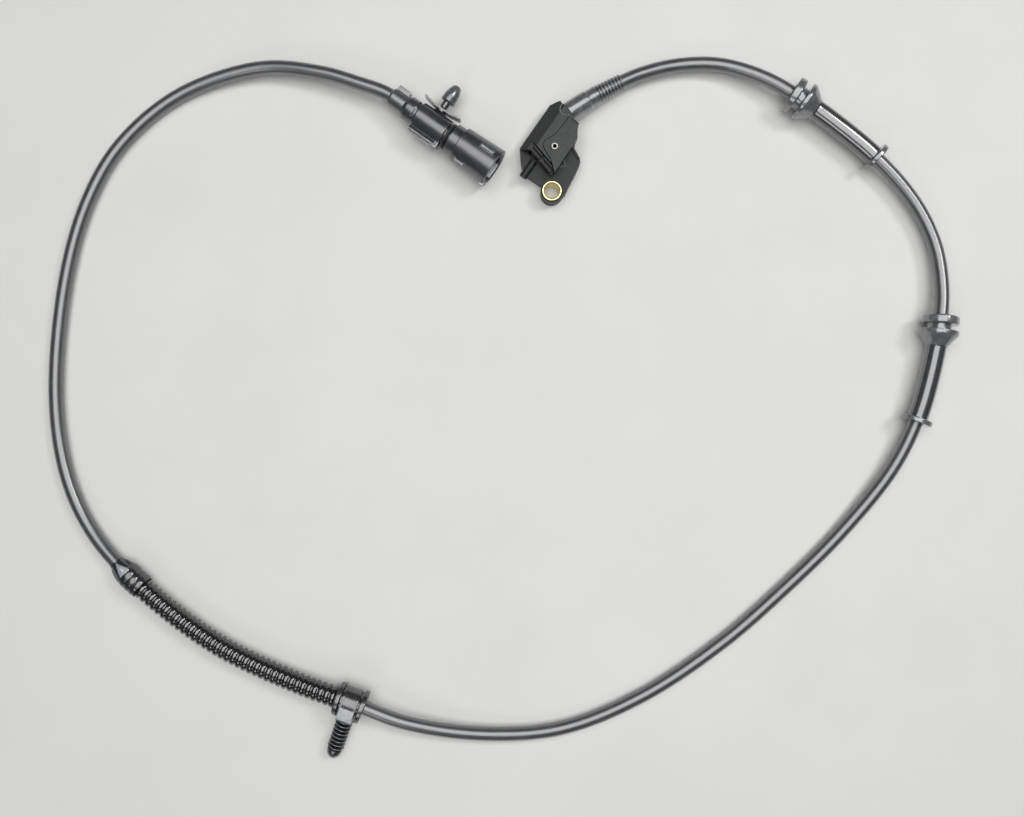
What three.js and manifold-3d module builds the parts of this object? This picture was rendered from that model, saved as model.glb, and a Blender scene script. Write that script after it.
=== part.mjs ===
// Wheel speed sensor with its moulded cable, grommets, conduit, clips and round connector.
// Millimetres, +Z up. The sensor head lies on the surface z = 0 with its centre at the origin.
// +X runs along the head towards its cable, and the connector points towards -Y.

import * as THREE from 'three';
import { mergeVertices } from 'three/addons/utils/BufferGeometryUtils.js';
import Module from 'manifold-3d';

const wasm = await Module();
wasm.setup();

// Clearances
const FIT_GAP = 0.3;
const BEND_GAP = 0.45;
const OVERCUT = 1;

// Sensor head
const HEAD_HEIGHT = 13.8;
const HEAD_HALF_LENGTH = 18.7;
const HEAD_HALF_WIDTH = 13.9;
const SLOPE_START_HEIGHT = 7;
const SLOPE_RUN = 6;
const HEAD_INNER_SIDE = -4.2;
const TIP_HEIGHT = 6.4;
const TIP_END = -14;
const STEP_HEIGHT = 10.6;
const STEP_WIDTH = 2.9;
const STEP_CLEARANCE = 6;
const STEP_OVERRUN = 4;
const TIP_RIB_HEIGHT = 1.9;
const TIP_RIB_WIDTH = 0.8;
const TIP_RIB_SETBACK = 0.9;
const TIP_RIB_SPACING = 1.7;
const TIP_RIB_RUNS = [[1.2, 5.9], [8.6, 5.4]];
const NOSE_DIAMETER = 3.4;
const NOSE_LENGTH = 6.4;
const NOSE_ROOT = 2;
const NOSE_OFFSET = 5.9;
const NOSE_AXIS_HEIGHT = 6.4;
const CAVITY_FLOOR = 3;
const CAVITY_LENGTH = 18;
const CAVITY_WIDTH = 9.2;
const CAVITY_START = -6.6;
const CAVITY_SIDE = 0.6;

// Fixing lug and its bush
const LUG_HEIGHT = 7.4;
const BUSH_LENGTH = 8.2;
const BUSH_DIAMETER = 8.4;
const BUSH_BORE = 6.3;
const BUSH_CHAMFER = 0.45;
const BARREL_WALL = 0.6;
const LUG_RIM_WIDTH = 0.9;
const LUG_RIM_RISE = 1;
const BUSH_Y = -7.8;

// Cover and rivet
const COVER_TOP = 14.1;
const COVER_THICKNESS = 4.4;
const COVER_BOSS_DIAMETER = 7;
const COVER_BOSS_HEIGHT = 0.3;
const EYELET_X = 0.6;
const EYELET_Y = 1.3;
const EYELET_HEAD_DIAMETER = 3.2;
const EYELET_SHANK_DIAMETER = 2.3;
const EYELET_BORE = 1.3;
const EYELET_HEAD_THICKNESS = 0.5;

// Sensing parts inside the head
const HOLDER_LENGTH = 12.4;
const HOLDER_WIDTH = 5.6;
const HOLDER_HEIGHT = 4.4;
const HOLDER_OFFSET = 1.2;
const MAGNET_SIZE = [4.4, 3.6, 2.6];
const ELEMENT_SIZE = [1.4, 4, 3.4];
const LEAD_LENGTH = 13.6;
const LEAD_WIDTH = 1.1;
const LEAD_THICKNESS = 0.4;
const LEAD_SPACING = 2.8;

// Cable
const CABLE_DIAMETER = 6;
const CABLE_SIDES = 10;
const CABLE_STEPS = 80;
const CORE_DIAMETER = 1.8;
const CORE_SPACING = 2.5;

// Strain relief at the head
const RELIEF_START = 4.3;
const RELIEF_ROOT_DIAMETER = 8.7;
const RELIEF_ROOT_LENGTH = 10.3;
const RELIEF_NECK_DIAMETER = 8;
const RELIEF_NECK_LENGTH = 4.5;
const RELIEF_TIP_DIAMETER = 7.7;
const RELIEF_RIB_COUNT = 8;
const RELIEF_RIB_PITCH = 1.5;
const RELIEF_GROOVE_DEPTH = 0.25;

// Cable grommets
const GROMMET_STATIONS = [107.5, 230.2];
const GROMMET_FLANGE_DIAMETER = 16;
const GROMMET_FLANGE_THICKNESS = 3;
const GROMMET_NECK_DIAMETER = 9.8;
const GROMMET_NECK_LENGTH = 2.8;
const GROMMET_CONE_DIAMETER = 16.2;
const GROMMET_CONE_LENGTH = 6.2;
const GROMMET_SLEEVE_DIAMETER = 8.4;
const GROMMET_SLEEVE_LENGTH = 32.4;
const GROMMET_END_DIAMETER = 14;
const GROMMET_END_THICKNESS = 2;

// Conduit, its end collar and its tape
const COLLAR_STATION = 568.8;
const COLLAR_FLANGE_DIAMETER = 14.4;
const COLLAR_FLANGE_THICKNESS = 2;
const COLLAR_HUB_DIAMETER = 10;
const COLLAR_HUB_LENGTH = 8.2;
const CONDUIT_DIAMETER = 9.2;
const CONDUIT_ROOT_DIAMETER = 7.8;
const CONDUIT_PITCH = 2.7;
const CONDUIT_CONVOLUTIONS = 39;
const TAPE_THICKNESS = 0.45;
const TAPE_GRIP_LENGTH = 8.5;
const TAPE_TAPER_LENGTH = 5;
const TAPE_TAIL_LENGTH = 2.6;

// Strap clip with its fir-tree stem
const STRAP_WIDTH = 7;
const STRAP_THICKNESS = 1.3;
const BUCKLE_WIDTH = 6.8;
const BUCKLE_REACH = 2.1;
const BUCKLE_TOP = 7.4;
const BUCKLE_TOP_START = 1;
const BUCKLE_TOP_DROP = 1.3;
const BUCKLE_CHAMFER = 0.8;
const BUCKLE_DEPTH = 4;
const BUCKLE_ARC_STEPS = 8;
const STEM_DIAMETER = 3;
const STEM_TIP_DIAMETER = 6.4;
const STEM_TIP_LENGTH = 4.2;
const STEM_DROOP = 0.16;
const STEM_ROOT = 0.6;
const FIN_DIAMETER = 7.2;
const FIN_START = 1;
const FIN_COUNT = 8;
const FIN_PITCH = 1.8;
const FIN_THICKNESS = 0.7;
const FIN_TAPER = 0.45;

// Connector, measured along its axis from the cable end
const CONNECTOR_X = -20.4;
const CONNECTOR_BACK_Y = 71;
const CONNECTOR_AXIS_HEIGHT = 8.8;
const REAR_BOOT_DIAMETER = 8.4;
const REAR_BOOT_LENGTH = 7.4;
const COLLAR_DIAMETER = 10.6;
const COLLAR_LENGTH = 6;
const BODY_DIAMETER = 12;
const BODY_LENGTH = 14.3;
const GROOVE_DIAMETER = 8.6;
const GROOVE_LENGTH = 2.9;
const SHOULDER_DIAMETER = 13.6;
const SHOULDER_LENGTH = 4.3;
const SHROUD_ROOT_DIAMETER = 15.6;
const SHROUD_MOUTH_DIAMETER = 17;
const SHROUD_LENGTH = 17.9;
const SOCKET_DIAMETER = 13.8;
const SOCKET_DEPTH = 16.6;
const REAR_CAVITY_DIAMETER = 8.2;
const REAR_CAVITY_DEPTH = 11.5;
const PIN_DIAMETER = 1.6;
const PIN_SPACING = 4.4;
const PIN_REACH = 10.5;
const PIN_TAIL = 3.5;
const WIRE_SEAL_DIAMETER = 3.2;
const WIRE_SEAL_LENGTH = 4;
const RETAINER_THICKNESS = 1.6;
const SEAL_RING_SECTION = 1.3;
const CONNECTOR_CLIP_STATION = 20.9;
const CLIP_WING_SPAN = 18;
const CLIP_WING_WIDTH = 5.6;
const CLIP_WING_THICKNESS = 0.75;
const CLIP_WING_RISE = 1;
const CLIP_HEAD_DIAMETER = 6.4;
const CLIP_HEAD_LENGTH = 8.3;
const CLIP_NECK_DIAMETER = 3.5;
const CLIP_REACH = 19.6;
const RAIL_RISE = 2;
const RAIL_WIDTH = 1.9;
const RAIL_LENGTH = 13.2;
const RAIL_ANGLES = [160, 190];
const TAB_LENGTH = 2.8;
const TAB_WIDTH = 4.6;
const TAB_RISE = 1.9;
const TAB_ANGLE = 175;
const LATCH_RIB_WIDTH = 2.3;
const LATCH_RIB_RISE = 0.45;
const LATCH_RIB_ANGLE = 68;
const LATCH_RIB_LENGTH = 6.5;
const LATCH_RIB_SETBACK = 9;
const GUIDE_LENGTH = 4.4;
const LUG_LENGTH = 1.6;
const LUG_ANGLES = [172, 196];
const KEY_WIDTH = 1.4;
const KEY_DEPTH = 1.6;

// Facets round each turned piece
const TURN_LARGE = 32;
const TURN_FINE = 28;
const TURN_PLAIN = 20;
const TURN_COARSE = 16;
const TURN_SMALL = 12;

// The cable's centre line, from inside the head to inside the connector
const ROUTE_POINTS = [
  [12.9, 7.05, 7.6],
  [20.1, 4.5, 7.6],
  [34.2, -1.8, 7.2],
  [48.9, -10, 6.1],
  [62.3, -21.7, 5.4],
  [72, -35.8, 5.9],
  [77.2, -52.5, 7.3],
  [78.7, -68.8, 8.2],
  [77.1, -112.7, 7.1],
  [71.1, -138.3, 5.9],
  [61.5, -155.4, 5.8],
  [48.3, -167.6, 6.9],
  [35.8, -174.9, 8.2],
  [13.8, -185.1, 7.6],
  [-5.1, -191.5, 7.1],
  [-28, -195.2, 5.9],
  [-62.8, -193.5, 3.7],
  [-97, -187.4, 3.15],
  [-131.3, -178.8, 3.1],
  [-169.8, -163.6, 3.1],
  [-200.7, -143.2, 3.15],
  [-222.1, -116.1, 4],
  [-236, -86.5, 6.5],
  [-241.8, -62.7, 7.5],
  [-249.4, -36.8, 5.3],
  [-255.3, -0.5, 4.9],
  [-253.2, 40.6, 5.5],
  [-247.5, 69, 3.4],
  [-234.7, 91.9, 3.1],
  [-209.5, 116.1, 3.1],
  [-164.7, 142.3, 3.1],
  [-131, 154, 3.1],
  [-103, 156.2, 3.15],
  [-71.1, 147.4, 3.7],
  [-42.2, 124.8, 5.9],
  [-29.3, 102, 7.9],
  [-23.6, 85, 8.6],
  [-20.6, 74, 8.8],
  [-20.4, 66, 8.8],
  [-20.4, 60, 8.8],
];

const UP = new THREE.Vector3(0, 0, 1);
const cableRadius = CABLE_DIAMETER / 2;

const route = new THREE.CatmullRomCurve3(
  ROUTE_POINTS.map((point) => new THREE.Vector3(...point)),
  false,
  'centripetal',
);
route.arcLengthDivisions = 4000;
const routeLength = route.getLength();

// Where a station along the cable lies, and which way it faces
function stationFrame(station) {
  const share = THREE.MathUtils.clamp(station / routeLength, 0, 1);
  const centre = route.getPointAt(share);
  const ahead = route.getTangentAt(share);
  const side = new THREE.Vector3().crossVectors(UP, ahead).normalize();
  const rise = new THREE.Vector3().crossVectors(ahead, side);
  centre.addScaledVector(ahead, station - share * routeLength);
  return { centre, ahead, side, rise };
}

// Keep only positions, join equal corners and turn the faces outwards
function closedShape(geometry) {
  const plain = geometry.index ? geometry.clone() : geometry;
  plain.deleteAttribute('normal');
  plain.deleteAttribute('uv');
  const welded = mergeVertices(plain, 1e-4);
  const place = welded.getAttribute('position');
  const index = [...welded.index.array];
  const corner = [0, 1, 2].map(() => new THREE.Vector3());
  const faces = [];
  let volume = 0;
  for (let i = 0; i < index.length; i += 3) {
    const [a, b, c] = index.slice(i, i + 3);
    if (a === b || b === c || c === a) continue;
    faces.push([a, b, c]);
    [a, b, c].forEach((vertex, k) => corner[k].fromBufferAttribute(place, vertex));
    volume += corner[0].dot(corner[1].cross(corner[2]));
  }
  if (volume < 0) faces.forEach((face) => face.reverse());
  const shape = new THREE.BufferGeometry();
  shape.setAttribute('position', place);
  shape.setIndex(faces.flat());
  shape.computeVertexNormals();
  return shape;
}

// A library solid from a closed shape, and the shape of a library solid
function solidOf(geometry) {
  const shape = closedShape(geometry);
  const vertProperties = Float32Array.from(shape.getAttribute('position').array);
  const triVerts = Uint32Array.from(shape.index.array);
  return new wasm.Manifold(new wasm.Mesh({ numProp: 3, vertProperties, triVerts }));
}

function shapeOf(solid) {
  const mesh = solid.getMesh();
  const geometry = new THREE.BufferGeometry();
  geometry.setAttribute('position', new THREE.Float32BufferAttribute(mesh.vertProperties, 3));
  geometry.setIndex([...mesh.triVerts]);
  return closedShape(geometry);
}

function joined(pieces) {
  return pieces.map(solidOf).reduce((whole, piece) => whole.add(piece));
}

function cut(whole, pieces) {
  return pieces.map(solidOf).reduce((rest, piece) => rest.subtract(piece), whole);
}

// Basic shapes, each lying along +Z from z = 0
function prism(outline, height, base = 0) {
  const shape = new THREE.Shape(outline.map(([x, y]) => new THREE.Vector2(x, y)));
  const geometry = new THREE.ExtrudeGeometry(shape, { depth: height, bevelEnabled: false });
  return geometry.translate(0, 0, base);
}

function turned(profile, segments) {
  const points = profile.map(([radius, along]) => new THREE.Vector2(radius, along));
  return new THREE.LatheGeometry(points, segments).rotateX(Math.PI / 2);
}

function rod(radius, length, segments, base = 0) {
  const profile = [
    [0, base],
    [radius, base],
    [radius, base + length],
    [0, base + length],
  ];
  return turned(profile, segments);
}

function block(length, width, height, x, y, base) {
  return new THREE.BoxGeometry(length, width, height).translate(x, y, base + height / 2);
}

// A ring section of outer profile points closed by a straight bore
function sleeveProfile(outer, boreRadius, bends = 1) {
  const first = outer[0][1];
  const last = outer[outer.length - 1][1];
  const bore = [];
  for (let i = 0; i <= bends; i += 1) {
    bore.push([boreRadius, THREE.MathUtils.lerp(last, first, i / bends)]);
  }
  return [...outer, ...bore, outer[0]];
}

// An outline moved outwards by a distance, for the pocket round an insert
function grown(outline, distance) {
  const count = outline.length;
  return outline.map((point, i) => {
    const here = new THREE.Vector2(...point);
    const before = new THREE.Vector2(...outline[(i + count - 1) % count]);
    const after = new THREE.Vector2(...outline[(i + 1) % count]);
    const inward = here.clone().sub(before).normalize();
    const onward = after.sub(here).normalize();
    const normal = new THREE.Vector2(inward.y, -inward.x);
    normal.add(new THREE.Vector2(onward.y, -onward.x)).normalize();
    const reach = distance / Math.max(normal.dot(new THREE.Vector2(inward.y, -inward.x)), 0.5);
    return [here.x + normal.x * reach, here.y + normal.y * reach];
  });
}

// Bend a shape that lies along +Z on to the cable's route
function bent(geometry, station) {
  const place = geometry.getAttribute('position');
  const corner = new THREE.Vector3();
  for (let i = 0; i < place.count; i += 1) {
    corner.fromBufferAttribute(place, i);
    const { centre, side, rise } = stationFrame(station + corner.z);
    centre.addScaledVector(side, corner.x).addScaledVector(rise, corner.y);
    place.setXYZ(i, centre.x, centre.y, centre.z);
  }
  return geometry;
}

// Set a rigid shape on the cable's route without bending it
function seated(geometry, station) {
  const { centre, ahead, side, rise } = stationFrame(station);
  const matrix = new THREE.Matrix4().makeBasis(side, rise, ahead).setPosition(centre);
  return geometry.applyMatrix4(matrix);
}

// Set a connector shape, made along +Z from the cable end, on the connector's axis
function onConnector(geometry) {
  const across = new THREE.Vector3(1, 0, 0);
  const forward = new THREE.Vector3(0, -1, 0);
  const matrix = new THREE.Matrix4().makeBasis(across, UP, forward);
  matrix.setPosition(CONNECTOR_X, CONNECTOR_BACK_Y, CONNECTOR_AXIS_HEIGHT);
  return geometry.applyMatrix4(matrix);
}

const finishes = {
  headPlastic: { color: 0x2b2c2e, roughness: 0.62, metalness: 0 },
  brass: { color: 0xcdb878, roughness: 0.28, metalness: 1 },
  tinnedSteel: { color: 0xa9a9a6, roughness: 0.35, metalness: 1 },
  magnet: { color: 0x3d3d40, roughness: 0.4, metalness: 0.8 },
  carrier: { color: 0x1f2022, roughness: 0.6, metalness: 0 },
  cableRubber: { color: 0x37383a, roughness: 0.5, metalness: 0 },
  glossRubber: { color: 0x2c2d2f, roughness: 0.34, metalness: 0 },
  conduitPlastic: { color: 0x121314, roughness: 0.28, metalness: 0 },
  tape: { color: 0x17181a, roughness: 0.22, metalness: 0 },
  clipPlastic: { color: 0x1b1c1e, roughness: 0.4, metalness: 0 },
  connectorPlastic: { color: 0x25272b, roughness: 0.42, metalness: 0 },
  sealRubber: { color: 0x1d1d1f, roughness: 0.6, metalness: 0 },
  coreBlack: { color: 0x202020, roughness: 0.5, metalness: 0 },
  coreWhite: { color: 0xd8d6cf, roughness: 0.5, metalness: 0 },
};

const sensor = new THREE.Group();

function place(name, geometry, finish) {
  const mesh = new THREE.Mesh(closedShape(geometry), new THREE.MeshStandardMaterial(finishes[finish]));
  mesh.name = name;
  sensor.add(mesh);
}

// Plan outlines of the head, seen from above
const reliefFrame = stationFrame(RELIEF_START);
const reliefEdge = (across, back) => {
  const point = reliefFrame.centre.clone();
  point.addScaledVector(reliefFrame.side, across);
  point.addScaledVector(reliefFrame.ahead, -FIT_GAP - back);
  return [point.x, point.y];
};
const slopeTopY = HEAD_HALF_WIDTH - SLOPE_RUN;
const headOutline = [
  [-9.4, HEAD_INNER_SIDE],
  [9, HEAD_INNER_SIDE],
  [11.9, -2.6],
  [14.4, -1.5],
  reliefEdge(-5.2, 0),
  reliefEdge(4.7, 0),
  [HEAD_HALF_LENGTH, 10.4],
  [HEAD_HALF_LENGTH, 11.2],
  [15.8, HEAD_HALF_WIDTH],
  [-6.8, HEAD_HALF_WIDTH],
  [-6.8, 11.6],
  [-5.7, 9.6],
];
const tipOutline = [
  [-4, HEAD_HALF_WIDTH],
  [-6.6, HEAD_HALF_WIDTH],
  [-10.2, 11],
  [-13, 8.2],
  [TIP_END, 5],
  [TIP_END, -4],
  [-9, -6],
  [-4, -4],
];
const lugOutline = [
  [7.4, -3],
  [4.3, -9.6],
  [3.1, -10.7],
  [0.1, -11.4],
  [-5.2, -12.1],
  [-8, -12.4],
  [-10.8, -13],
  [-14.4, -12.6],
  [-14.4, -3],
  [-8, -2],
];
const lugRimOutline = [
  [7.1, -3.6],
  [4.2, -9.6],
  [4.2 - LUG_RIM_WIDTH, -9.6],
  [7.1 - LUG_RIM_WIDTH, -3.6],
];
const coverOutline = [
  [-8.2, -4.9],
  [3.9, -4.6],
  [7, -4.1],
  [9.1, -4.5],
  [11.9, -2.6],
  [14, -1.6],
  [14, 3.4],
  [8.2, 3.7],
  [5.2, 3.8],
  [2.5, 5.1],
  [0.4, 6],
  [-1.6, 5.6],
  [-2.7, 3.9],
  [-4.6, -0.6],
];

const barrelRadius = BUSH_DIAMETER / 2 + BARREL_WALL;
const bushX = barrelRadius - HEAD_HALF_LENGTH;
const coverSeat = COVER_TOP - COVER_THICKNESS;
const cavityX = CAVITY_START + CAVITY_LENGTH / 2;
const cavityY = CAVITY_SIDE + CAVITY_WIDTH / 2;

// The direction of the slanted shoulder at the tip, and a bar laid along it
const shoulderAngle = THREE.MathUtils.degToRad(75);
const shoulderStart = [-9.4, HEAD_INNER_SIDE];
function shoulderBar(offset, width, start, length, base, height) {
  const bar = new THREE.BoxGeometry(length, width, height);
  bar.translate(start + length / 2, width / 2 - offset, base + height / 2);
  return bar.rotateZ(shoulderAngle).translate(...shoulderStart, 0);
}

// A cutter along the cable's own direction at the head, which opens into the cavity
const cableBore = () => {
  const { centre, ahead } = stationFrame(0);
  const reach = Math.max(0, centre.x - CAVITY_START - CAVITY_LENGTH) / ahead.x + 2 * OVERCUT;
  const cutter = rod(cableRadius + BEND_GAP, RELIEF_START + reach + OVERCUT, TURN_PLAIN, -reach);
  return seated(cutter, 0);
};

const headSection = [
  [HEAD_INNER_SIDE, 0],
  [HEAD_HALF_WIDTH, 0],
  [HEAD_HALF_WIDTH, SLOPE_START_HEIGHT],
  [slopeTopY, HEAD_HEIGHT],
  [HEAD_INNER_SIDE, HEAD_HEIGHT],
];

function makeHousing() {
  const sweep = prism(headSection, 2 * HEAD_HALF_LENGTH, -HEAD_HALF_LENGTH);
  sweep.applyMatrix4(new THREE.Matrix4().makeBasis(
    new THREE.Vector3(0, 1, 0),
    new THREE.Vector3(0, 0, 1),
    new THREE.Vector3(1, 0, 0),
  ));
  const plan = prism(headOutline, HEAD_HEIGHT + OVERCUT, -OVERCUT / 2);
  const main = solidOf(sweep).intersect(solidOf(plan));
  const nose = rod(NOSE_DIAMETER / 2, NOSE_LENGTH + NOSE_ROOT, TURN_PLAIN);
  nose.rotateY(-Math.PI / 2).translate(TIP_END + NOSE_LENGTH, NOSE_OFFSET, NOSE_AXIS_HEIGHT);
  const barrel = rod(barrelRadius, LUG_HEIGHT, TURN_FINE).translate(bushX, BUSH_Y, 0);
  const ribRise = TIP_RIB_HEIGHT + FIT_GAP;
  const additions = joined([
    prism(tipOutline, TIP_HEIGHT),
    prism(lugOutline, LUG_HEIGHT),
    prism(lugRimOutline, LUG_HEIGHT + LUG_RIM_RISE),
    barrel,
    nose,
  ]);
  const ribBase = STEP_HEIGHT - FIT_GAP;
  const ribs = joined(TIP_RIB_RUNS.flatMap(([start, length]) => [
    shoulderBar(TIP_RIB_SETBACK, TIP_RIB_WIDTH, start, length, ribBase, ribRise),
    shoulderBar(TIP_RIB_SETBACK + TIP_RIB_SPACING, TIP_RIB_WIDTH, start, length, ribBase, ribRise),
  ]));
  const stepRun = (HEAD_HALF_WIDTH - HEAD_INNER_SIDE) / Math.sin(shoulderAngle) + 2 * STEP_OVERRUN;
  const stepWidth = STEP_WIDTH + STEP_CLEARANCE;
  const step = shoulderBar(STEP_WIDTH, stepWidth, -STEP_OVERRUN, stepRun, STEP_HEIGHT, HEAD_HEIGHT);
  const cavity = block(CAVITY_LENGTH, CAVITY_WIDTH, HEAD_HEIGHT, cavityX, cavityY, CAVITY_FLOOR);
  const cavityRoof = block(CAVITY_LENGTH, CAVITY_WIDTH, HEAD_HEIGHT, cavityX, cavityY, coverSeat - FIT_GAP);
  const hollow = solidOf(cavity).subtract(solidOf(cavityRoof));
  const pocket = prism(grown(coverOutline, FIT_GAP), HEAD_HEIGHT, coverSeat - FIT_GAP);
  const bushSeat = rod(BUSH_DIAMETER / 2 + FIT_GAP, LUG_HEIGHT + 2 * OVERCUT, TURN_FINE, -OVERCUT);
  bushSeat.translate(bushX, BUSH_Y, 0);
  const stepped = cut(main, [step]).add(ribs);
  const whole = stepped.add(additions).subtract(hollow);
  return shapeOf(cut(whole, [pocket, bushSeat, cableBore()]));
}

function makeCover() {
  const boss = rod(COVER_BOSS_DIAMETER / 2, COVER_THICKNESS + COVER_BOSS_HEIGHT, TURN_FINE, coverSeat);
  boss.translate(EYELET_X, EYELET_Y, 0);
  const plate = joined([prism(coverOutline, COVER_THICKNESS, coverSeat), boss]);
  const shankHole = EYELET_SHANK_DIAMETER / 2 + FIT_GAP;
  const shank = rod(shankHole, 2 * COVER_THICKNESS, TURN_PLAIN, coverSeat - OVERCUT);
  const skirt = block(CAVITY_LENGTH, 2 * HEAD_HALF_WIDTH, 2, 0, 0, coverSeat - 2);
  return shapeOf(cut(plate, [shank.translate(EYELET_X, EYELET_Y, 0), skirt]));
}

function makeEyelet() {
  const top = COVER_TOP + COVER_BOSS_HEIGHT + FIT_GAP;
  const head = EYELET_HEAD_DIAMETER / 2;
  const shank = EYELET_SHANK_DIAMETER / 2;
  const crown = top + EYELET_HEAD_THICKNESS;
  const outer = [
    [shank, coverSeat],
    [shank, top],
    [head, top],
    [head, crown - EYELET_HEAD_THICKNESS / 2],
    [head - EYELET_HEAD_THICKNESS / 2, crown],
    [EYELET_BORE / 2, crown],
  ];
  const profile = [...outer, [EYELET_BORE / 2, coverSeat], outer[0]];
  return turned(profile, TURN_PLAIN).translate(EYELET_X, EYELET_Y, 0);
}

function makeBush() {
  const outer = BUSH_DIAMETER / 2;
  const bore = BUSH_BORE / 2;
  const profile = [
    [bore + BUSH_CHAMFER, 0],
    [outer, 0],
    [outer, BUSH_LENGTH - BUSH_CHAMFER / 2],
    [outer - BUSH_CHAMFER / 2, BUSH_LENGTH],
    [bore + BUSH_CHAMFER, BUSH_LENGTH],
    [bore, BUSH_LENGTH - BUSH_CHAMFER],
    [bore, BUSH_CHAMFER],
    [bore + BUSH_CHAMFER, 0],
  ];
  return turned(profile, TURN_FINE).translate(bushX, BUSH_Y, 0);
}

// The carrier, its magnet and its sensing element sit in line along +X on the cavity floor
const holderStart = CAVITY_START + FIT_GAP + ELEMENT_SIZE[0] + FIT_GAP;
const holderX = holderStart + HOLDER_LENGTH / 2;
const holderY = cavityY + HOLDER_OFFSET;
const holderBase = CAVITY_FLOOR + FIT_GAP;
const magnetX = holderStart + 1.2 + MAGNET_SIZE[0] / 2;
const magnetFloor = holderBase + 1;

function makeHolder() {
  const carrier = solidOf(block(HOLDER_LENGTH, HOLDER_WIDTH, HOLDER_HEIGHT, holderX, holderY, holderBase));
  const [length, width] = MAGNET_SIZE;
  const nest = block(
    length + 2 * FIT_GAP,
    width + 2 * FIT_GAP,
    HOLDER_HEIGHT,
    magnetX,
    holderY,
    magnetFloor - FIT_GAP,
  );
  return shapeOf(cut(carrier, [nest]));
}

function makeLead(sign) {
  const base = holderBase + HOLDER_HEIGHT + FIT_GAP;
  const y = holderY + sign * LEAD_SPACING / 2;
  return block(LEAD_LENGTH, LEAD_WIDTH, LEAD_THICKNESS, holderStart + LEAD_LENGTH / 2, y, base);
}

// A core runs from the end of the cable's jacket to its lead
function makeHeadCore(sign) {
  const { centre, ahead, side } = stationFrame(0);
  const start = centre.clone().addScaledVector(side, sign * CORE_SPACING / 2);
  start.addScaledVector(ahead, -FIT_GAP - CORE_DIAMETER / 4);
  const leadEnd = holderStart + LEAD_LENGTH + FIT_GAP + CORE_DIAMETER / 4;
  const end = new THREE.Vector3(leadEnd, holderY + sign * LEAD_SPACING / 2, start.z + 0.6);
  const path = new THREE.LineCurve3(start, end);
  const section = new THREE.Shape().absarc(0, 0, CORE_DIAMETER / 2, 0, 2 * Math.PI);
  return new THREE.ExtrudeGeometry(section, { steps: 1, curveSegments: 5, extrudePath: path });
}

function makeRelief() {
  const root = RELIEF_ROOT_DIAMETER / 2;
  const neck = RELIEF_NECK_DIAMETER / 2;
  const tip = RELIEF_TIP_DIAMETER / 2;
  const ribStart = RELIEF_ROOT_LENGTH + RELIEF_NECK_LENGTH;
  const outer = [
    [root - 0.5, 0],
    [root, 0.5],
    [root, RELIEF_ROOT_LENGTH],
    [neck, RELIEF_ROOT_LENGTH + 0.3],
    [neck, ribStart],
  ];
  for (let i = 0; i < RELIEF_RIB_COUNT; i += 1) {
    const crest = THREE.MathUtils.lerp(neck, tip, (i + 1) / RELIEF_RIB_COUNT);
    const start = ribStart + i * RELIEF_RIB_PITCH;
    outer.push([crest - RELIEF_GROOVE_DEPTH, start + 0.25 * RELIEF_RIB_PITCH]);
    outer.push([crest, start + 0.55 * RELIEF_RIB_PITCH]);
    outer.push([crest, start + RELIEF_RIB_PITCH]);
  }
  return bent(turned(sleeveProfile(outer, cableRadius + FIT_GAP, 6), TURN_PLAIN), RELIEF_START);
}

// A circle of straight sides for the cable's section
function makeCable() {
  const section = new THREE.Shape();
  for (let i = 0; i < CABLE_SIDES; i += 1) {
    const angle = (i / CABLE_SIDES) * 2 * Math.PI;
    const x = cableRadius * Math.cos(angle);
    const y = cableRadius * Math.sin(angle);
    if (i === 0) section.moveTo(x, y);
    else section.lineTo(x, y);
  }
  section.closePath();
  return new THREE.ExtrudeGeometry(section, { steps: CABLE_STEPS, extrudePath: route });
}

function makeGrommet(station) {
  const neckStart = GROMMET_FLANGE_THICKNESS;
  const coneStart = neckStart + GROMMET_NECK_LENGTH;
  const sleeveStart = coneStart + GROMMET_CONE_LENGTH;
  const endStart = sleeveStart + GROMMET_SLEEVE_LENGTH;
  const flange = GROMMET_FLANGE_DIAMETER / 2;
  const sleeve = GROMMET_SLEEVE_DIAMETER / 2;
  const outer = [
    [flange - 0.4, 0],
    [flange, 0.4],
    [flange, neckStart - 0.4],
    [flange - 0.4, neckStart],
    [GROMMET_NECK_DIAMETER / 2, neckStart],
    [GROMMET_NECK_DIAMETER / 2, coneStart],
    [GROMMET_CONE_DIAMETER / 2, coneStart + 0.3],
    [GROMMET_CONE_DIAMETER / 2, coneStart + 1],
    [sleeve + 0.3, sleeveStart],
    [sleeve, sleeveStart + 1.5],
    [sleeve, THREE.MathUtils.lerp(sleeveStart, endStart, 0.3)],
    [sleeve, THREE.MathUtils.lerp(sleeveStart, endStart, 0.65)],
    [sleeve, endStart],
    [GROMMET_END_DIAMETER / 2, endStart],
    [GROMMET_END_DIAMETER / 2, endStart + GROMMET_END_THICKNESS],
  ];
  return bent(turned(sleeveProfile(outer, cableRadius + FIT_GAP, 6), TURN_FINE), station);
}

function makeCollar() {
  const flange = COLLAR_FLANGE_DIAMETER / 2;
  const hub = COLLAR_HUB_DIAMETER / 2;
  const second = COLLAR_FLANGE_THICKNESS + COLLAR_HUB_LENGTH;
  const outer = [
    [flange, 0],
    [flange, COLLAR_FLANGE_THICKNESS],
    [hub, COLLAR_FLANGE_THICKNESS],
    [hub, second],
    [flange, second],
    [flange, second + COLLAR_FLANGE_THICKNESS],
  ];
  return bent(turned(sleeveProfile(outer, cableRadius + FIT_GAP, 2), TURN_FINE), COLLAR_STATION);
}

const collarLength = 2 * COLLAR_FLANGE_THICKNESS + COLLAR_HUB_LENGTH;
const conduitStart = COLLAR_STATION + collarLength + FIT_GAP;
const conduitLength = CONDUIT_CONVOLUTIONS * CONDUIT_PITCH;

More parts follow.
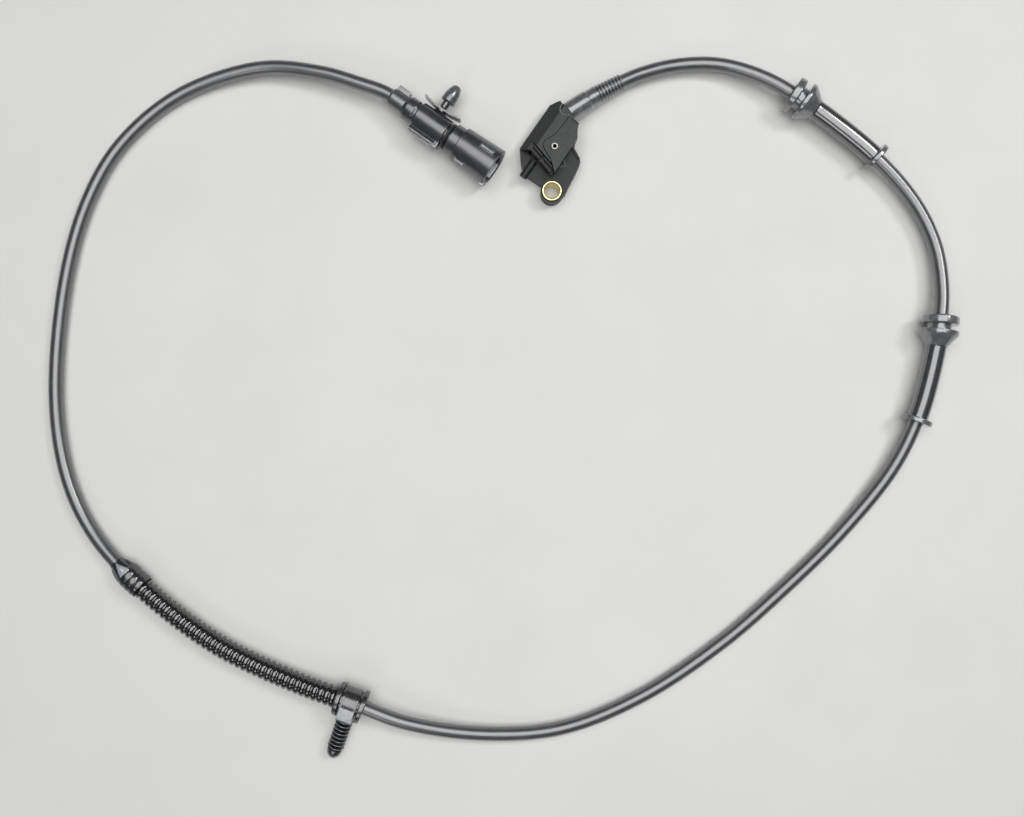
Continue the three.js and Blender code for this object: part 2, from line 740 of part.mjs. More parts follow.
function makeConduit() {
  const crest = CONDUIT_DIAMETER / 2;
  const root = CONDUIT_ROOT_DIAMETER / 2;
  const outer = [];
  for (let i = 0; i < CONDUIT_CONVOLUTIONS; i += 1) {
    const start = i * CONDUIT_PITCH;
    outer.push([root, start]);
    outer.push([crest, start + 0.28 * CONDUIT_PITCH]);
    outer.push([crest, start + 0.72 * CONDUIT_PITCH]);
  }
  outer.push([root, conduitLength]);
  return bent(turned(sleeveProfile(outer, cableRadius + FIT_GAP, 10), TURN_COARSE), conduitStart);
}

function makeTape() {
  const grip = CONDUIT_DIAMETER / 2 + FIT_GAP;
  const cable = cableRadius + FIT_GAP;
  const taperEnd = TAPE_GRIP_LENGTH + TAPE_TAPER_LENGTH;
  const end = taperEnd + TAPE_TAIL_LENGTH;
  const profile = [
    [grip + TAPE_THICKNESS, 0],
    [grip + TAPE_THICKNESS, TAPE_GRIP_LENGTH / 2],
    [grip + TAPE_THICKNESS, TAPE_GRIP_LENGTH],
    [THREE.MathUtils.lerp(grip, cable, 0.55) + TAPE_THICKNESS, TAPE_GRIP_LENGTH + 0.45 * TAPE_TAPER_LENGTH],
    [cable + TAPE_THICKNESS, taperEnd],
    [cable + TAPE_THICKNESS, end],
    [cable, end],
    [cable, taperEnd],
    [THREE.MathUtils.lerp(grip, cable, 0.55), TAPE_GRIP_LENGTH + 0.45 * TAPE_TAPER_LENGTH],
    [grip, TAPE_GRIP_LENGTH + FIT_GAP],
    [grip, TAPE_GRIP_LENGTH / 2],
    [grip, 0],
    [grip + TAPE_THICKNESS, 0],
  ];
  const start = conduitStart + conduitLength - TAPE_GRIP_LENGTH;
  return bent(turned(profile, TURN_PLAIN), start);
}

function makeFirTreeClip() {
  const inner = COLLAR_HUB_DIAMETER / 2 + FIT_GAP;
  const outer = inner + STRAP_THICKNESS;
  const band = turned([
    [outer, -STRAP_WIDTH / 2],
    [outer, STRAP_WIDTH / 2],
    [inner, STRAP_WIDTH / 2],
    [inner, -STRAP_WIDTH / 2],
    [outer, -STRAP_WIDTH / 2],
  ], TURN_FINE);
  const face = inner + BUCKLE_REACH;
  const shelf = BUCKLE_TOP - BUCKLE_TOP_DROP;
  const root = inner + STRAP_THICKNESS / 2;
  const start = Math.asin(-BUCKLE_DEPTH / root);
  const stop = Math.acos(BUCKLE_TOP_START / root);
  const seat = Array.from({ length: BUCKLE_ARC_STEPS + 1 }, (_, i) => {
    const angle = THREE.MathUtils.lerp(start, stop, i / BUCKLE_ARC_STEPS);
    return [root * Math.cos(angle), root * Math.sin(angle)];
  });
  const buckle = prism([
    [BUCKLE_TOP_START, BUCKLE_TOP],
    [face - BUCKLE_CHAMFER, shelf],
    [face, shelf - BUCKLE_CHAMFER],
    [face, -BUCKLE_DEPTH],
    ...seat,
  ], BUCKLE_WIDTH, -BUCKLE_WIDTH / 2);
  const stemProfile = [
    [0, 0],
    [STEM_DIAMETER / 2, 0],
  ];
  for (let i = 0; i < FIN_COUNT; i += 1) {
    const start = FIN_START + i * FIN_PITCH;
    stemProfile.push([STEM_DIAMETER / 2, start]);
    stemProfile.push([FIN_DIAMETER / 2, start + FIN_TAPER]);
    stemProfile.push([FIN_DIAMETER / 2, start + FIN_THICKNESS]);
    stemProfile.push([STEM_DIAMETER / 2, start + FIN_THICKNESS + FIN_TAPER]);
  }
  const tipStart = FIN_START + FIN_COUNT * FIN_PITCH;
  const tipRadius = STEM_TIP_DIAMETER / 2;
  stemProfile.push([STEM_DIAMETER / 2, tipStart]);
  stemProfile.push([tipRadius, tipStart]);
  stemProfile.push([tipRadius, tipStart + 0.3 * STEM_TIP_LENGTH]);
  stemProfile.push([0.8 * tipRadius, tipStart + 0.7 * STEM_TIP_LENGTH]);
  stemProfile.push([0.4 * tipRadius, tipStart + STEM_TIP_LENGTH]);
  stemProfile.push([0, tipStart + STEM_TIP_LENGTH]);
  const stem = turned(stemProfile, TURN_COARSE).rotateY(Math.PI / 2);
  stem.rotateZ(-Math.atan(STEM_DROOP));
  const stemRoot = face - STEM_ROOT;
  stem.translate(stemRoot, -STEM_DROOP * stemRoot, 0);
  return seated(shapeOf(joined([band, buckle, stem])), COLLAR_STATION + collarLength / 2);
}

// Stations along the connector
const bodyStart = REAR_BOOT_LENGTH + COLLAR_LENGTH + 2 * FIT_GAP;
const grooveStart = bodyStart + BODY_LENGTH;
const shoulderStartZ = grooveStart + GROOVE_LENGTH;
const shroudStart = shoulderStartZ + SHOULDER_LENGTH;
const mouth = shroudStart + SHROUD_LENGTH;
const socketFloor = mouth - SOCKET_DEPTH;
const pinOffset = PIN_SPACING / 2;
const pinTail = bodyStart + REAR_CAVITY_DEPTH - PIN_TAIL;
const bodyRadius = BODY_DIAMETER / 2;

function makeRearBoot() {
  const radius = REAR_BOOT_DIAMETER / 2;
  const outer = [
    [radius - 0.3, 0],
    [radius, 0.6],
    [radius, REAR_BOOT_LENGTH],
  ];
  const sleeve = solidOf(turned(sleeveProfile(outer, cableRadius + FIT_GAP), TURN_FINE));
  const rib = solidOf(block(2.2, 4, REAR_BOOT_LENGTH - 1.6, radius + 0.5, 0, 0.8));
  return onConnector(shapeOf(sleeve.add(rib)));
}

function makeConnectorCollar() {
  const start = REAR_BOOT_LENGTH + FIT_GAP;
  const radius = COLLAR_DIAMETER / 2;
  const outer = [
    [radius - 0.7, start],
    [radius, start + 0.7],
    [radius, start + COLLAR_LENGTH - 0.4],
    [radius - 0.4, start + COLLAR_LENGTH],
  ];
  return onConnector(turned(sleeveProfile(outer, cableRadius + FIT_GAP), TURN_FINE));
}

// A raised bar on a turned surface, at an angle round the axis
function surfaceBar(radius, rise, width, start, length, degrees) {
  const depth = rise + 1.2;
  const bar = block(depth, width, length, radius + rise - depth / 2, 0, start);
  return bar.rotateZ(THREE.MathUtils.degToRad(degrees));
}

function makeConnectorBody() {
  const shell = turned([
    [0, bodyStart],
    [bodyRadius, bodyStart],
    [bodyRadius, grooveStart],
    [GROOVE_DIAMETER / 2, grooveStart],
    [GROOVE_DIAMETER / 2, shoulderStartZ],
    [SHOULDER_DIAMETER / 2, shoulderStartZ],
    [SHOULDER_DIAMETER / 2, shroudStart],
    [SHROUD_ROOT_DIAMETER / 2, shroudStart],
    [SHROUD_MOUTH_DIAMETER / 2, mouth],
    [0, mouth],
  ], TURN_LARGE);
  const mouthRadius = SHROUD_MOUTH_DIAMETER / 2;
  const latchStart = mouth - LATCH_RIB_SETBACK;
  const bars = [
    ...RAIL_ANGLES.map((angle) => {
      return surfaceBar(bodyRadius, RAIL_RISE, RAIL_WIDTH, bodyStart, RAIL_LENGTH, angle);
    }),
    surfaceBar(bodyRadius, TAB_RISE, TAB_WIDTH, grooveStart - TAB_LENGTH, TAB_LENGTH, TAB_ANGLE),
    surfaceBar(mouthRadius, LATCH_RIB_RISE, LATCH_RIB_WIDTH, latchStart, LATCH_RIB_LENGTH, LATCH_RIB_ANGLE),
    surfaceBar(SHROUD_ROOT_DIAMETER / 2, 0.9, 1.4, shroudStart + 2.4, GUIDE_LENGTH, 150),
    ...LUG_ANGLES.map((angle) => surfaceBar(mouthRadius, 0.9, 1.3, mouth - LUG_LENGTH, LUG_LENGTH, angle)),
  ];
  const outside = bars.map(solidOf).reduce((whole, bar) => whole.add(bar), solidOf(shell));
  const rear = rod(REAR_CAVITY_DIAMETER / 2, REAR_CAVITY_DEPTH + OVERCUT, TURN_FINE, bodyStart - OVERCUT);
  const socket = rod(SOCKET_DIAMETER / 2, SOCKET_DEPTH + OVERCUT, TURN_LARGE, socketFloor);
  const pinBores = [-1, 1].map((sign) => {
    const bore = rod(PIN_DIAMETER / 2 + FIT_GAP, mouth, TURN_SMALL, bodyStart);
    return bore.translate(0, sign * pinOffset, 0);
  });
  const open = cut(outside, [rear, socket, ...pinBores]);
  const keyFloor = socketFloor + FIT_GAP + RETAINER_THICKNESS;
  const keyX = SOCKET_DIAMETER / 2 - KEY_DEPTH / 8;
  const key = block(KEY_DEPTH, KEY_WIDTH, mouth - OVERCUT - keyFloor, keyX, 0, keyFloor);
  return onConnector(shapeOf(open.add(solidOf(key))));
}

function makeSealRing() {
  const inner = GROOVE_DIAMETER / 2 + FIT_GAP;
  const centre = grooveStart + GROOVE_LENGTH / 2;
  const half = SEAL_RING_SECTION / 2;
  const profile = [];
  for (let i = 0; i <= 8; i += 1) {
    const angle = (i / 8) * 2 * Math.PI;
    profile.push([inner + half + half * Math.cos(angle), centre + half * Math.sin(angle)]);
  }
  profile[8] = profile[0];
  return onConnector(turned(profile, TURN_FINE));
}

function makePin(sign) {
  const radius = PIN_DIAMETER / 2;
  const tip = socketFloor + PIN_REACH;
  const profile = [
    [0, pinTail],
    [radius, pinTail],
    [radius, tip - 1],
    [radius / 2, tip],
    [0, tip],
  ];
  return onConnector(turned(profile, TURN_SMALL).translate(0, sign * pinOffset, 0));
}

// Each core runs from the jacket's end to the tail of its pin, through its wire seal
function makeConnectorCore(sign) {
  const jacketEnd = CONNECTOR_BACK_Y - ROUTE_POINTS[ROUTE_POINTS.length - 1][1];
  const start = new THREE.Vector3(0, sign * CORE_SPACING / 2, jacketEnd + FIT_GAP);
  const middle = new THREE.Vector3(0, sign * pinOffset, bodyStart + 1);
  const end = new THREE.Vector3(0, sign * pinOffset, pinTail - FIT_GAP);
  const path = new THREE.CatmullRomCurve3([start, middle, end]);
  const section = new THREE.Shape().absarc(0, 0, CORE_DIAMETER / 2, 0, 2 * Math.PI);
  const options = { steps: 5, curveSegments: 4, extrudePath: path };
  return onConnector(new THREE.ExtrudeGeometry(section, options));
}

function makeWireSeal(sign) {
  const start = bodyStart + 3.2;
  const radius = WIRE_SEAL_DIAMETER / 2;
  const outer = [
    [radius, start],
    [radius, start + WIRE_SEAL_LENGTH],
  ];
  const ring = turned(sleeveProfile(outer, CORE_DIAMETER / 2 + FIT_GAP), TURN_SMALL);
  return onConnector(ring.translate(0, sign * pinOffset, 0));
}

function makeRetainer() {
  const radius = SOCKET_DIAMETER / 2 - FIT_GAP;
  const disc = rod(radius, RETAINER_THICKNESS, TURN_FINE, socketFloor + FIT_GAP);
  const bores = [-1, 1].map((sign) => {
    const bore = rod(PIN_DIAMETER / 2 + FIT_GAP, mouth, TURN_SMALL);
    return bore.translate(0, sign * pinOffset, 0);
  });
  const keyway = block(2 * KEY_DEPTH, KEY_WIDTH + OVERCUT, mouth, SOCKET_DIAMETER / 2, 0, 0);
  return onConnector(shapeOf(cut(solidOf(disc), [...bores, keyway])));
}

function makeConnectorClip() {
  const foot = bodyRadius + FIT_GAP;
  const span = CLIP_WING_SPAN / 2;
  const neck = CLIP_NECK_DIAMETER / 2;
  const head = CLIP_HEAD_DIAMETER / 2;
  const leaf = foot + 0.8;
  const rim = leaf + CLIP_WING_RISE;
  const profile = [
    [0, foot],
    [3.2, foot],
    [3.2, leaf],
    [0.7 * span, leaf + 0.45 * CLIP_WING_RISE],
    [span, rim],
    [span, rim + CLIP_WING_THICKNESS],
    [0.7 * span, leaf + 0.45 * CLIP_WING_RISE + CLIP_WING_THICKNESS],
    [neck + 0.6, leaf + CLIP_WING_THICKNESS],
    [neck, leaf + CLIP_WING_THICKNESS + 0.6],
    [neck, CLIP_REACH - CLIP_HEAD_LENGTH],
    [head, CLIP_REACH - CLIP_HEAD_LENGTH + 0.5],
    [head, CLIP_REACH - 0.7 * CLIP_HEAD_LENGTH],
    [head * 0.8, CLIP_REACH - 0.32 * CLIP_HEAD_LENGTH],
    [head * 0.5, CLIP_REACH - 0.08 * CLIP_HEAD_LENGTH],
    [0, CLIP_REACH],
  ];
  const clip = turned(profile, TURN_FINE).rotateY(Math.PI / 2);
  const reach = rim + 1 - foot;
  const sides = [-1, 1].map((sign) => {
    const y = sign * (CLIP_WING_WIDTH + span) / 2;
    return block(reach + OVERCUT, span, 2 * CLIP_WING_SPAN, foot + reach / 2, y, -CLIP_WING_SPAN);
  });
  const cleared = shapeOf(cut(solidOf(clip), sides));
  return onConnector(cleared.translate(0, 0, CONNECTOR_CLIP_STATION));
}

place('sensor_housing', makeHousing(), 'headPlastic');
place('housing_cover', makeCover(), 'headPlastic');
place('cover_eyelet', makeEyelet(), 'tinnedSteel');
place('bolt_bushing', makeBush(), 'brass');
place('element_holder', makeHolder(), 'carrier');
place('bias_magnet', block(...MAGNET_SIZE, magnetX, holderY, magnetFloor), 'magnet');
const elementX = CAVITY_START + FIT_GAP + ELEMENT_SIZE[0] / 2;
place('sensor_element', block(...ELEMENT_SIZE, elementX, holderY, holderBase), 'carrier');
place('lead_a', makeLead(-1), 'tinnedSteel');
place('lead_b', makeLead(1), 'tinnedSteel');
place('head_core_a', makeHeadCore(-1), 'coreBlack');
place('head_core_b', makeHeadCore(1), 'coreWhite');
place('strain_relief_boot', makeRelief(), 'glossRubber');
place('cable', makeCable(), 'cableRubber');
place('grommet_upper', makeGrommet(GROMMET_STATIONS[0]), 'glossRubber');
place('grommet_lower', makeGrommet(GROMMET_STATIONS[1]), 'glossRubber');
place('conduit_end_collar', makeCollar(), 'clipPlastic');
place('fir_tree_clip', makeFirTreeClip(), 'clipPlastic');
place('conduit', makeConduit(), 'conduitPlastic');
place('conduit_tape', makeTape(), 'tape');
place('connector_rear_boot', makeRearBoot(), 'glossRubber');
place('connector_collar', makeConnectorCollar(), 'connectorPlastic');
place('connector_body', makeConnectorBody(), 'connectorPlastic');
place('connector_seal_ring', makeSealRing(), 'sealRubber');
place('terminal_pin_a', makePin(-1), 'tinnedSteel');
place('terminal_pin_b', makePin(1), 'tinnedSteel');
place('wire_seal_a', makeWireSeal(-1), 'sealRubber');
place('wire_seal_b', makeWireSeal(1), 'sealRubber');
place('connector_core_a', makeConnectorCore(-1), 'coreBlack');
place('connector_core_b', makeConnectorCore(1), 'coreWhite');
place('pin_retainer', makeRetainer(), 'connectorPlastic');
place('connector_clip', makeConnectorClip(), 'clipPlastic');

export default sensor;
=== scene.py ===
"""The looks of a wheel speed sensor: head, moulded cable, grommets, conduit, clips and connector.

The head lies on z = 0 with its centre at the origin. +X runs along the head towards its cable, and
the connector points towards -Y. Sizes are in millimetres, and become metres as a mesh is made.
"""

import logging
import math
from bisect import bisect_right
from dataclasses import dataclass, field
from enum import Enum
from functools import cache
from typing import Callable, Sequence

import bmesh
import bpy
from mathutils import Matrix, Vector, noise


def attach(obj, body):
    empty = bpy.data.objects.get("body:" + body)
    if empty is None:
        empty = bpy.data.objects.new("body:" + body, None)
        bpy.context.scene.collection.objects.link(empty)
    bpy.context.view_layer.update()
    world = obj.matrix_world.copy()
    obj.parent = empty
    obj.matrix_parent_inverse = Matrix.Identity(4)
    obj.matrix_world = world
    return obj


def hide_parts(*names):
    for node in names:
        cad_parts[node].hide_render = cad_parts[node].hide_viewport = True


MM = 0.001
BODY = "root"
# Face attribute with the share of the pale colour: edge wear, and painted highlight and painted light
ATTRIBUTE_WEAR_AND_HIGHLIGHT = "edge"
# Distances in metres within which points become one, in new shapes and in copies of the CAD's
WELD = 1e-7
CAD_WELD = 2e-6

Point = tuple[float, float, float]
# A corner of a profile or a plan: its place, and the length that its arc takes of each side
Corner = tuple[float, float, float]
Profile = list[tuple[float, float]]
Shape = bmesh.types.BMesh
Socket = bpy.types.NodeSocket
Tree = bpy.types.NodeTree

log = logging.getLogger("wheel_speed_sensor")
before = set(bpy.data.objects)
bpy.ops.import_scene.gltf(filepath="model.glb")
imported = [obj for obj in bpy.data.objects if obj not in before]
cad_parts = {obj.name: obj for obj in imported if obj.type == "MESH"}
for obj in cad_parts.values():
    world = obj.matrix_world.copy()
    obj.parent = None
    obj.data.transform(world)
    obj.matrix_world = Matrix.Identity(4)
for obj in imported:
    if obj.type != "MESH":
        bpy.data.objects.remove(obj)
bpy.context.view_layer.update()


class Slot(Enum):
    """The record's material slots that new pieces take their finish from."""

    HEAD = "head_plastic"
    BRASS = "bush_brass"
    EYELET = "eyelet_metal"
    CABLE = "cable_rubber"
    GLOSS = "gloss_rubber"
    CONDUIT = "conduit_plastic"
    TAPE = "tape"
    CLIP = "clip_plastic"
    CONNECTOR = "connector_plastic"
    SEAL = "seal_rubber"


def linear(hex_colour: str) -> tuple[float, float, float, float]:
    """Turns an sRGB hex colour to the linear colour that shaders take.

    Args:
        hex_colour: Six hex digits, with or without a leading #.

    Returns:
        Red, green, blue and an alpha of 1.
    """
    digits = hex_colour.lstrip("#")
    shares = [int(digits[i : i + 2], 16) / 255 for i in (0, 2, 4)]
    red, green, blue = [s / 12.92 if s <= 0.04045 else ((s + 0.055) / 1.055) ** 2.4 for s in shares]
    return red, green, blue, 1.0


def add_node(
    tree: Tree, kind: str, settings: dict | None = None, links: dict | None = None
) -> bpy.types.Node:
    """Adds one shader node with its settings and links.

    Args:
        tree: The material's or world's node tree.
        kind: Blender's name for the node's type.
        settings: Values by property name, or by socket name or number.
        links: Output sockets to join, by the name or number of this node's input.

    Returns:
        The new node.
    """
    node = tree.nodes.new(kind)
    for key, value in (settings or {}).items():
        if isinstance(key, str) and hasattr(node, key):
            setattr(node, key, value)
        else:
            node.inputs[key].default_value = value
    for key, socket in (links or {}).items():
        tree.links.new(socket, node.inputs[key])
    return node


@dataclass(frozen=True)
class MouldedFinish:
    """A moulded or extruded plastic or rubber with grain, mottling, worn edges and pale painted
    highlights.

    Grain and mottle sizes are in millimetres. Grain finer than about 0.2 mm would vanish at this
    distance, so the finer real textures are drawn at about that size.
    """

    name: str
    colour: str
    second: str
    # The pale colour of marked faces: edge wear, and painted highlight and painted light
    pale_wear_and_highlight: str
    roughness: tuple[float, float]
    mottle_size: float = 3.0
    grain_size: float = 0.25
    grain_depth: float = 0.012
    coat: float = 0.0
    coat_roughness: float = 0.05
    specular: float = 0.5
    ior: float = 1.5
    metallic: float = 0.0

    def material(self) -> bpy.types.Material:
        """Builds the finish's node material.

        Returns:
            The material.
        """
        made = bpy.data.materials.new(self.name)
        made.use_nodes = True
        tree = made.node_tree
        shader = tree.nodes["Principled BSDF"]
        place = add_node(tree, "ShaderNodeTexCoord").outputs["Object"]
        mottle = add_node(
            tree,
            "ShaderNodeTexNoise",
            {"Scale": 1 / (self.mottle_size * MM), "Detail": 4.0, "Roughness": 0.6},
            {"Vector": place},
        ).outputs["Fac"]
        spread = add_node(
            tree, "ShaderNodeMapRange", {"From Min": 0.32, "From Max": 0.68}, {"Value": mottle}
        ).outputs["Result"]
        body = add_node(
            tree,
            "ShaderNodeMix",
            {"data_type": "RGBA", 6: linear(self.colour), 7: linear(self.second)},
            {0: spread},
        ).outputs[2]
        # Share of the pale colour: painted highlight and painted light, and edge wear on rounds
        edge = add_node(
            tree, "ShaderNodeAttribute", {"attribute_name": ATTRIBUTE_WEAR_AND_HIGHLIGHT}
        ).outputs["Fac"]
        patches = add_node(
            tree, "ShaderNodeMapRange", {"To Min": 0.45, "To Max": 1.0}, {"Value": spread}
        ).outputs["Result"]
        wear_and_highlight_share = add_node(
            tree, "ShaderNodeMath", {"operation": "MULTIPLY"}, {0: edge, 1: patches}
        ).outputs[0]
        colour = add_node(
            tree, "ShaderNodeMix", {"data_type": "RGBA", 7: linear(self.pale_wear_and_highlight)}, {0: wear_and_highlight_share, 6: body}
        ).outputs[2]
        tree.links.new(colour, shader.inputs["Base Color"])
        low, high = self.roughness
        dull = add_node(
            tree, "ShaderNodeMapRange", {"To Min": low, "To Max": high}, {"Value": mottle}
        ).outputs["Result"]
        tree.links.new(dull, shader.inputs["Roughness"])
        grain = add_node(
            tree,
            "ShaderNodeTexNoise",
            {"Scale": 1 / (self.grain_size * MM), "Detail": 2.0},
            {"Vector": place},
        ).outputs["Fac"]
        bump = add_node(
            tree,
            "ShaderNodeBump",
            {"Strength": 1.0, "Distance": self.grain_depth * MM},
            {"Height": self.relief(tree, place, grain)},
        ).outputs["Normal"]
        tree.links.new(bump, shader.inputs["Normal"])
        shader.inputs["IOR"].default_value = self.ior
        shader.inputs["Metallic"].default_value = self.metallic
        shader.inputs["Specular IOR Level"].default_value = self.specular
        shader.inputs["Coat Weight"].default_value = self.coat
        shader.inputs["Coat Roughness"].default_value = self.coat_roughness
        return made

    def relief(self, tree: Tree, place: Socket, grain: Socket) -> Socket:
        """Gives the height that the bump follows, which here is the plain grain."""
        return grain


@dataclass(frozen=True)
class TurnedFinish(MouldedFinish):
    """A metal turned on a lathe, with fine tool rings round an upright axis."""

    centre: Point = (0.0, 0.0, 0.0)
    ring_pitch: float = 0.35

    def relief(self, tree: Tree, place: Socket, grain: Socket) -> Socket:
        """Adds the tool's rings to the grain.

        Args:
            tree: The material's node tree.
            place: The place on the object.
            grain: The grain's height.

        Returns:
            The socket of the height.
        """
        offset = [-c * MM for c in self.centre]
        centred = add_node(
            tree, "ShaderNodeMapping", {"Location": offset}, {"Vector": place}
        ).outputs["Vector"]
        rings = add_node(
            tree,
            "ShaderNodeTexWave",
            {
                "wave_type": "RINGS",
                "rings_direction": "Z",
                "Scale": math.pi / 10 / (self.ring_pitch * MM),
                "Distortion": 0.4,
            },
            {"Vector": centred},
        ).outputs["Fac"]
        return add_node(
            tree, "ShaderNodeMath", {"operation": "ADD"}, {0: rings, 1: grain}
        ).outputs[0]


# Glass-filled polyamide of the head: matte and slightly grainy, with worn edges and a painted edge
# highlight
HEAD_NYLON = MouldedFinish(
    "glass_filled_polyamide", "#161819", "#212325", "#8f9392", (0.38, 0.58), 1.8, 0.35, 0.03,
    specular=0.38,
)
# Extruded polyurethane jacket: satin charcoal, smooth to the hand
JACKET = MouldedFinish(
    "polyurethane_jacket", "#303236", "#3c3e42", "#6f7173", (0.28, 0.42), 5.0, 0.35, 0.008,
    coat=0.9, coat_roughness=0.24, specular=1.0, ior=1.7,
)
# Moulded thermoplastic rubber of grommets and strain relief: shinier than the jacket
SLEEVE_RUBBER = MouldedFinish(
    "moulded_thermoplastic_rubber", "#2b2d30", "#36383c", "#8f9194", (0.16, 0.3), 3.0, 0.4, 0.008,
    coat=1.0, coat_roughness=0.08, specular=1.0, ior=1.65,
)
# Corrugated polyamide conduit: blow-moulded, black and shiny
CONDUIT_NYLON = MouldedFinish(
    "blow_moulded_polyamide", "#0d0e0f", "#17181a", "#5a5c5e", (0.1, 0.2), 4.0, 0.35, 0.006,
    coat=0.6, specular=1.0, ior=1.6,
)
# Soft PVC wrapping tape: black, shiny and slightly uneven where it is stretched
PVC_TAPE = MouldedFinish(
    "pvc_wrapping_tape", "#1b1c20", "#26282d", "#b9bdc4", (0.16, 0.28), 2.6, 0.9, 0.02,
    specular=1.0, ior=1.6,
)
# Unfilled polyamide of the clips: tough, waxy black
CLIP_NYLON = MouldedFinish(
    "moulded_polyamide_clip", "#1b1c1e", "#27282b", "#a6a9b0", (0.2, 0.34), 2.4, 0.35, 0.01,
    coat=0.6, coat_roughness=0.1, specular=1.0, ior=1.6,
)
# Glass-filled polybutylene of the connector: dark with a cool sheen
CONNECTOR_PBT = MouldedFinish(
    "glass_filled_polybutylene", "#1c1e22", "#2e3036", "#c6cad0", (0.22, 0.4), 2.2, 0.35, 0.02,
    coat=0.5, coat_roughness=0.18, specular=1.0, ior=1.6,
)
# Moulded silicone of the seal ring and the wire seals: matte, soft black
SEAL_SILICONE = MouldedFinish(
    "silicone_seal", "#232325", "#2e2e30", "#4c4c4e", (0.4, 0.55), 2.0, 0.3, 0.006
)
# Cross-linked insulation of the two cores, extruded: smooth, one black and one off-white
CORE_BLACK = MouldedFinish(
    "crosslinked_insulation_black", "#1d1d1e", "#272728", "#3c3c3d", (0.35, 0.5)
)
CORE_WHITE = MouldedFinish(
    "crosslinked_insulation_white", "#d9d6cd", "#cbc7bc", "#e4e2da", (0.35, 0.5)
)
# Liquid crystal polymer of the element and its holder, moulded: matte dark grey
CARRIER = MouldedFinish("liquid_crystal_polymer", "#222325", "#2c2d2f", "#444547", (0.45, 0.6))
# Sintered ferrite of the bias magnet: dark grey and slightly coarse
FERRITE = MouldedFinish(
    "sintered_ferrite", "#3c3b3d", "#4a494a", "#5b5a5b", (0.35, 0.5), 0.8, 0.2, 0.02
)
# Tin plating over brass terminals, leads and the eyelet: a soft grey shine, faintly mottled
TIN_PLATE = MouldedFinish(
    "tin_plate", "#a9a9a5", "#8f8f8b", "#cfcecb", (0.28, 0.45), 1.0, 0.3, 0.004, metallic=1.0
)


@dataclass(frozen=True)
class Piece:
    """One finished piece of the scene.

    Attributes:
        shape: The piece's object.
        nodes: The CAD nodes that it stands for.
        slot: The record's slot that it takes its finish from.
    """

    shape: bpy.types.Object
    nodes: tuple[str, ...]
    slot: Slot


@cache
def material_of(finish: MouldedFinish) -> bpy.types.Material:
    """Gives a finish's material, made at its first use."""
    return finish.material()


@dataclass(frozen=True)
class Station:
    """A place along the cable, in metres, with the directions ahead, to the side and up."""

    centre: Vector
    ahead: Vector
    side: Vector
    rise: Vector

    def place(self, local: Vector) -> Vector:
        """Moves a point from beside the station's centre to its place."""
        return self.centre + self.side * local.x + self.rise * local.y


@dataclass
class Route:
    """The cable's centre line: a centripetal curve through listed points.

    Attributes:
        points: The points in metres.
        divisions: How many short steps measure the line.
        nudge: Half the share of the line over which its direction is taken.
        lengths: The line's length in metres up to each step.
        cubics: The coefficients of each span between two points.
    """

    points: list[Vector]
    divisions: int = 4000
    nudge: float = 1e-4
    lengths: list[float] = field(default_factory=list)
    cubics: list[tuple[Vector, ...]] = field(default_factory=list)

    def __post_init__(self) -> None:
        """Works out each span's cubic and the line's length up to each short step."""
        first, second, *_, before, last = self.points
        chain = [2 * first - second, *self.points, 2 * last - before]
        for four in zip(chain, chain[1:], chain[2:], chain[3:]):
            self.cubics.append(self.cubic(*four))
        self.lengths.append(0.0)
        here = self.at(0.0)
        for step in range(1, self.divisions + 1):
            there = self.at(step / self.divisions)
            self.lengths.append(self.lengths[-1] + (there - here).length)
            here = there

    @staticmethod
    def cubic(p0: Vector, p1: Vector, p2: Vector, p3: Vector) -> tuple[Vector, ...]:
        """Works out the cubic of one span of the line.

        Args:
            p0: The point before the span.
            p1: The span's first point.
            p2: The span's last point.
            p3: The point after the span.

        Returns:
            The cubic's four coefficients.
        """
        d0, d1, d2 = [(b - a).length ** 0.5 for a, b in ((p0, p1), (p1, p2), (p2, p3))]
        t1 = ((p1 - p0) / d0 - (p2 - p0) / (d0 + d1) + (p2 - p1) / d1) * d1
        t2 = ((p2 - p1) / d1 - (p3 - p1) / (d1 + d2) + (p3 - p2) / d2) * d1
        return p1, t1, 3 * (p2 - p1) - 2 * t1 - t2, 2 * (p1 - p2) + t1 + t2

    def at(self, share: float) -> Vector:
        """Finds a point of the line.

        Args:
            share: The share of the curve's parameter.

        Returns:
            The point in metres.
        """
        reach = share * len(self.cubics)
        span = min(int(reach), len(self.cubics) - 1)
        t = reach - span
        c0, c1, c2, c3 = self.cubics[span]
        return c0 + t * (c1 + t * (c2 + t * c3))

    @property
    def length(self) -> float:
        """The line's whole length in metres."""
        return self.lengths[-1]

    def share(self, distance: float) -> float:
        """Turns a distance along the line to a share of the curve's parameter.

        Args:
            distance: Metres from the line's start.

        Returns:
            The share.
        """
        low = min(bisect_right(self.lengths, distance), self.divisions) - 1
        part = (distance - self.lengths[low]) / (self.lengths[low + 1] - self.lengths[low])
        return (low + min(max(part, 0.0), 1.0)) / self.divisions

    def station(self, distance: float) -> Station:
        """Gives the place and directions at a distance along the line.

        Args:
            distance: Millimetres from the line's start, which may lie past either end.

        Returns:
            The station there.
        """
        inside = min(max(distance * MM, 0.0), self.length)
        share = self.share(inside)
        before, after = max(share - self.nudge, 0.0), min(share + self.nudge, 1.0)
        ahead = (self.at(after) - self.at(before)).normalized()
        side = Vector((0, 0, 1)).cross(ahead).normalized()
        centre = self.at(share) + ahead * (distance * MM - inside)
        return Station(centre, ahead, side, ahead.cross(side))


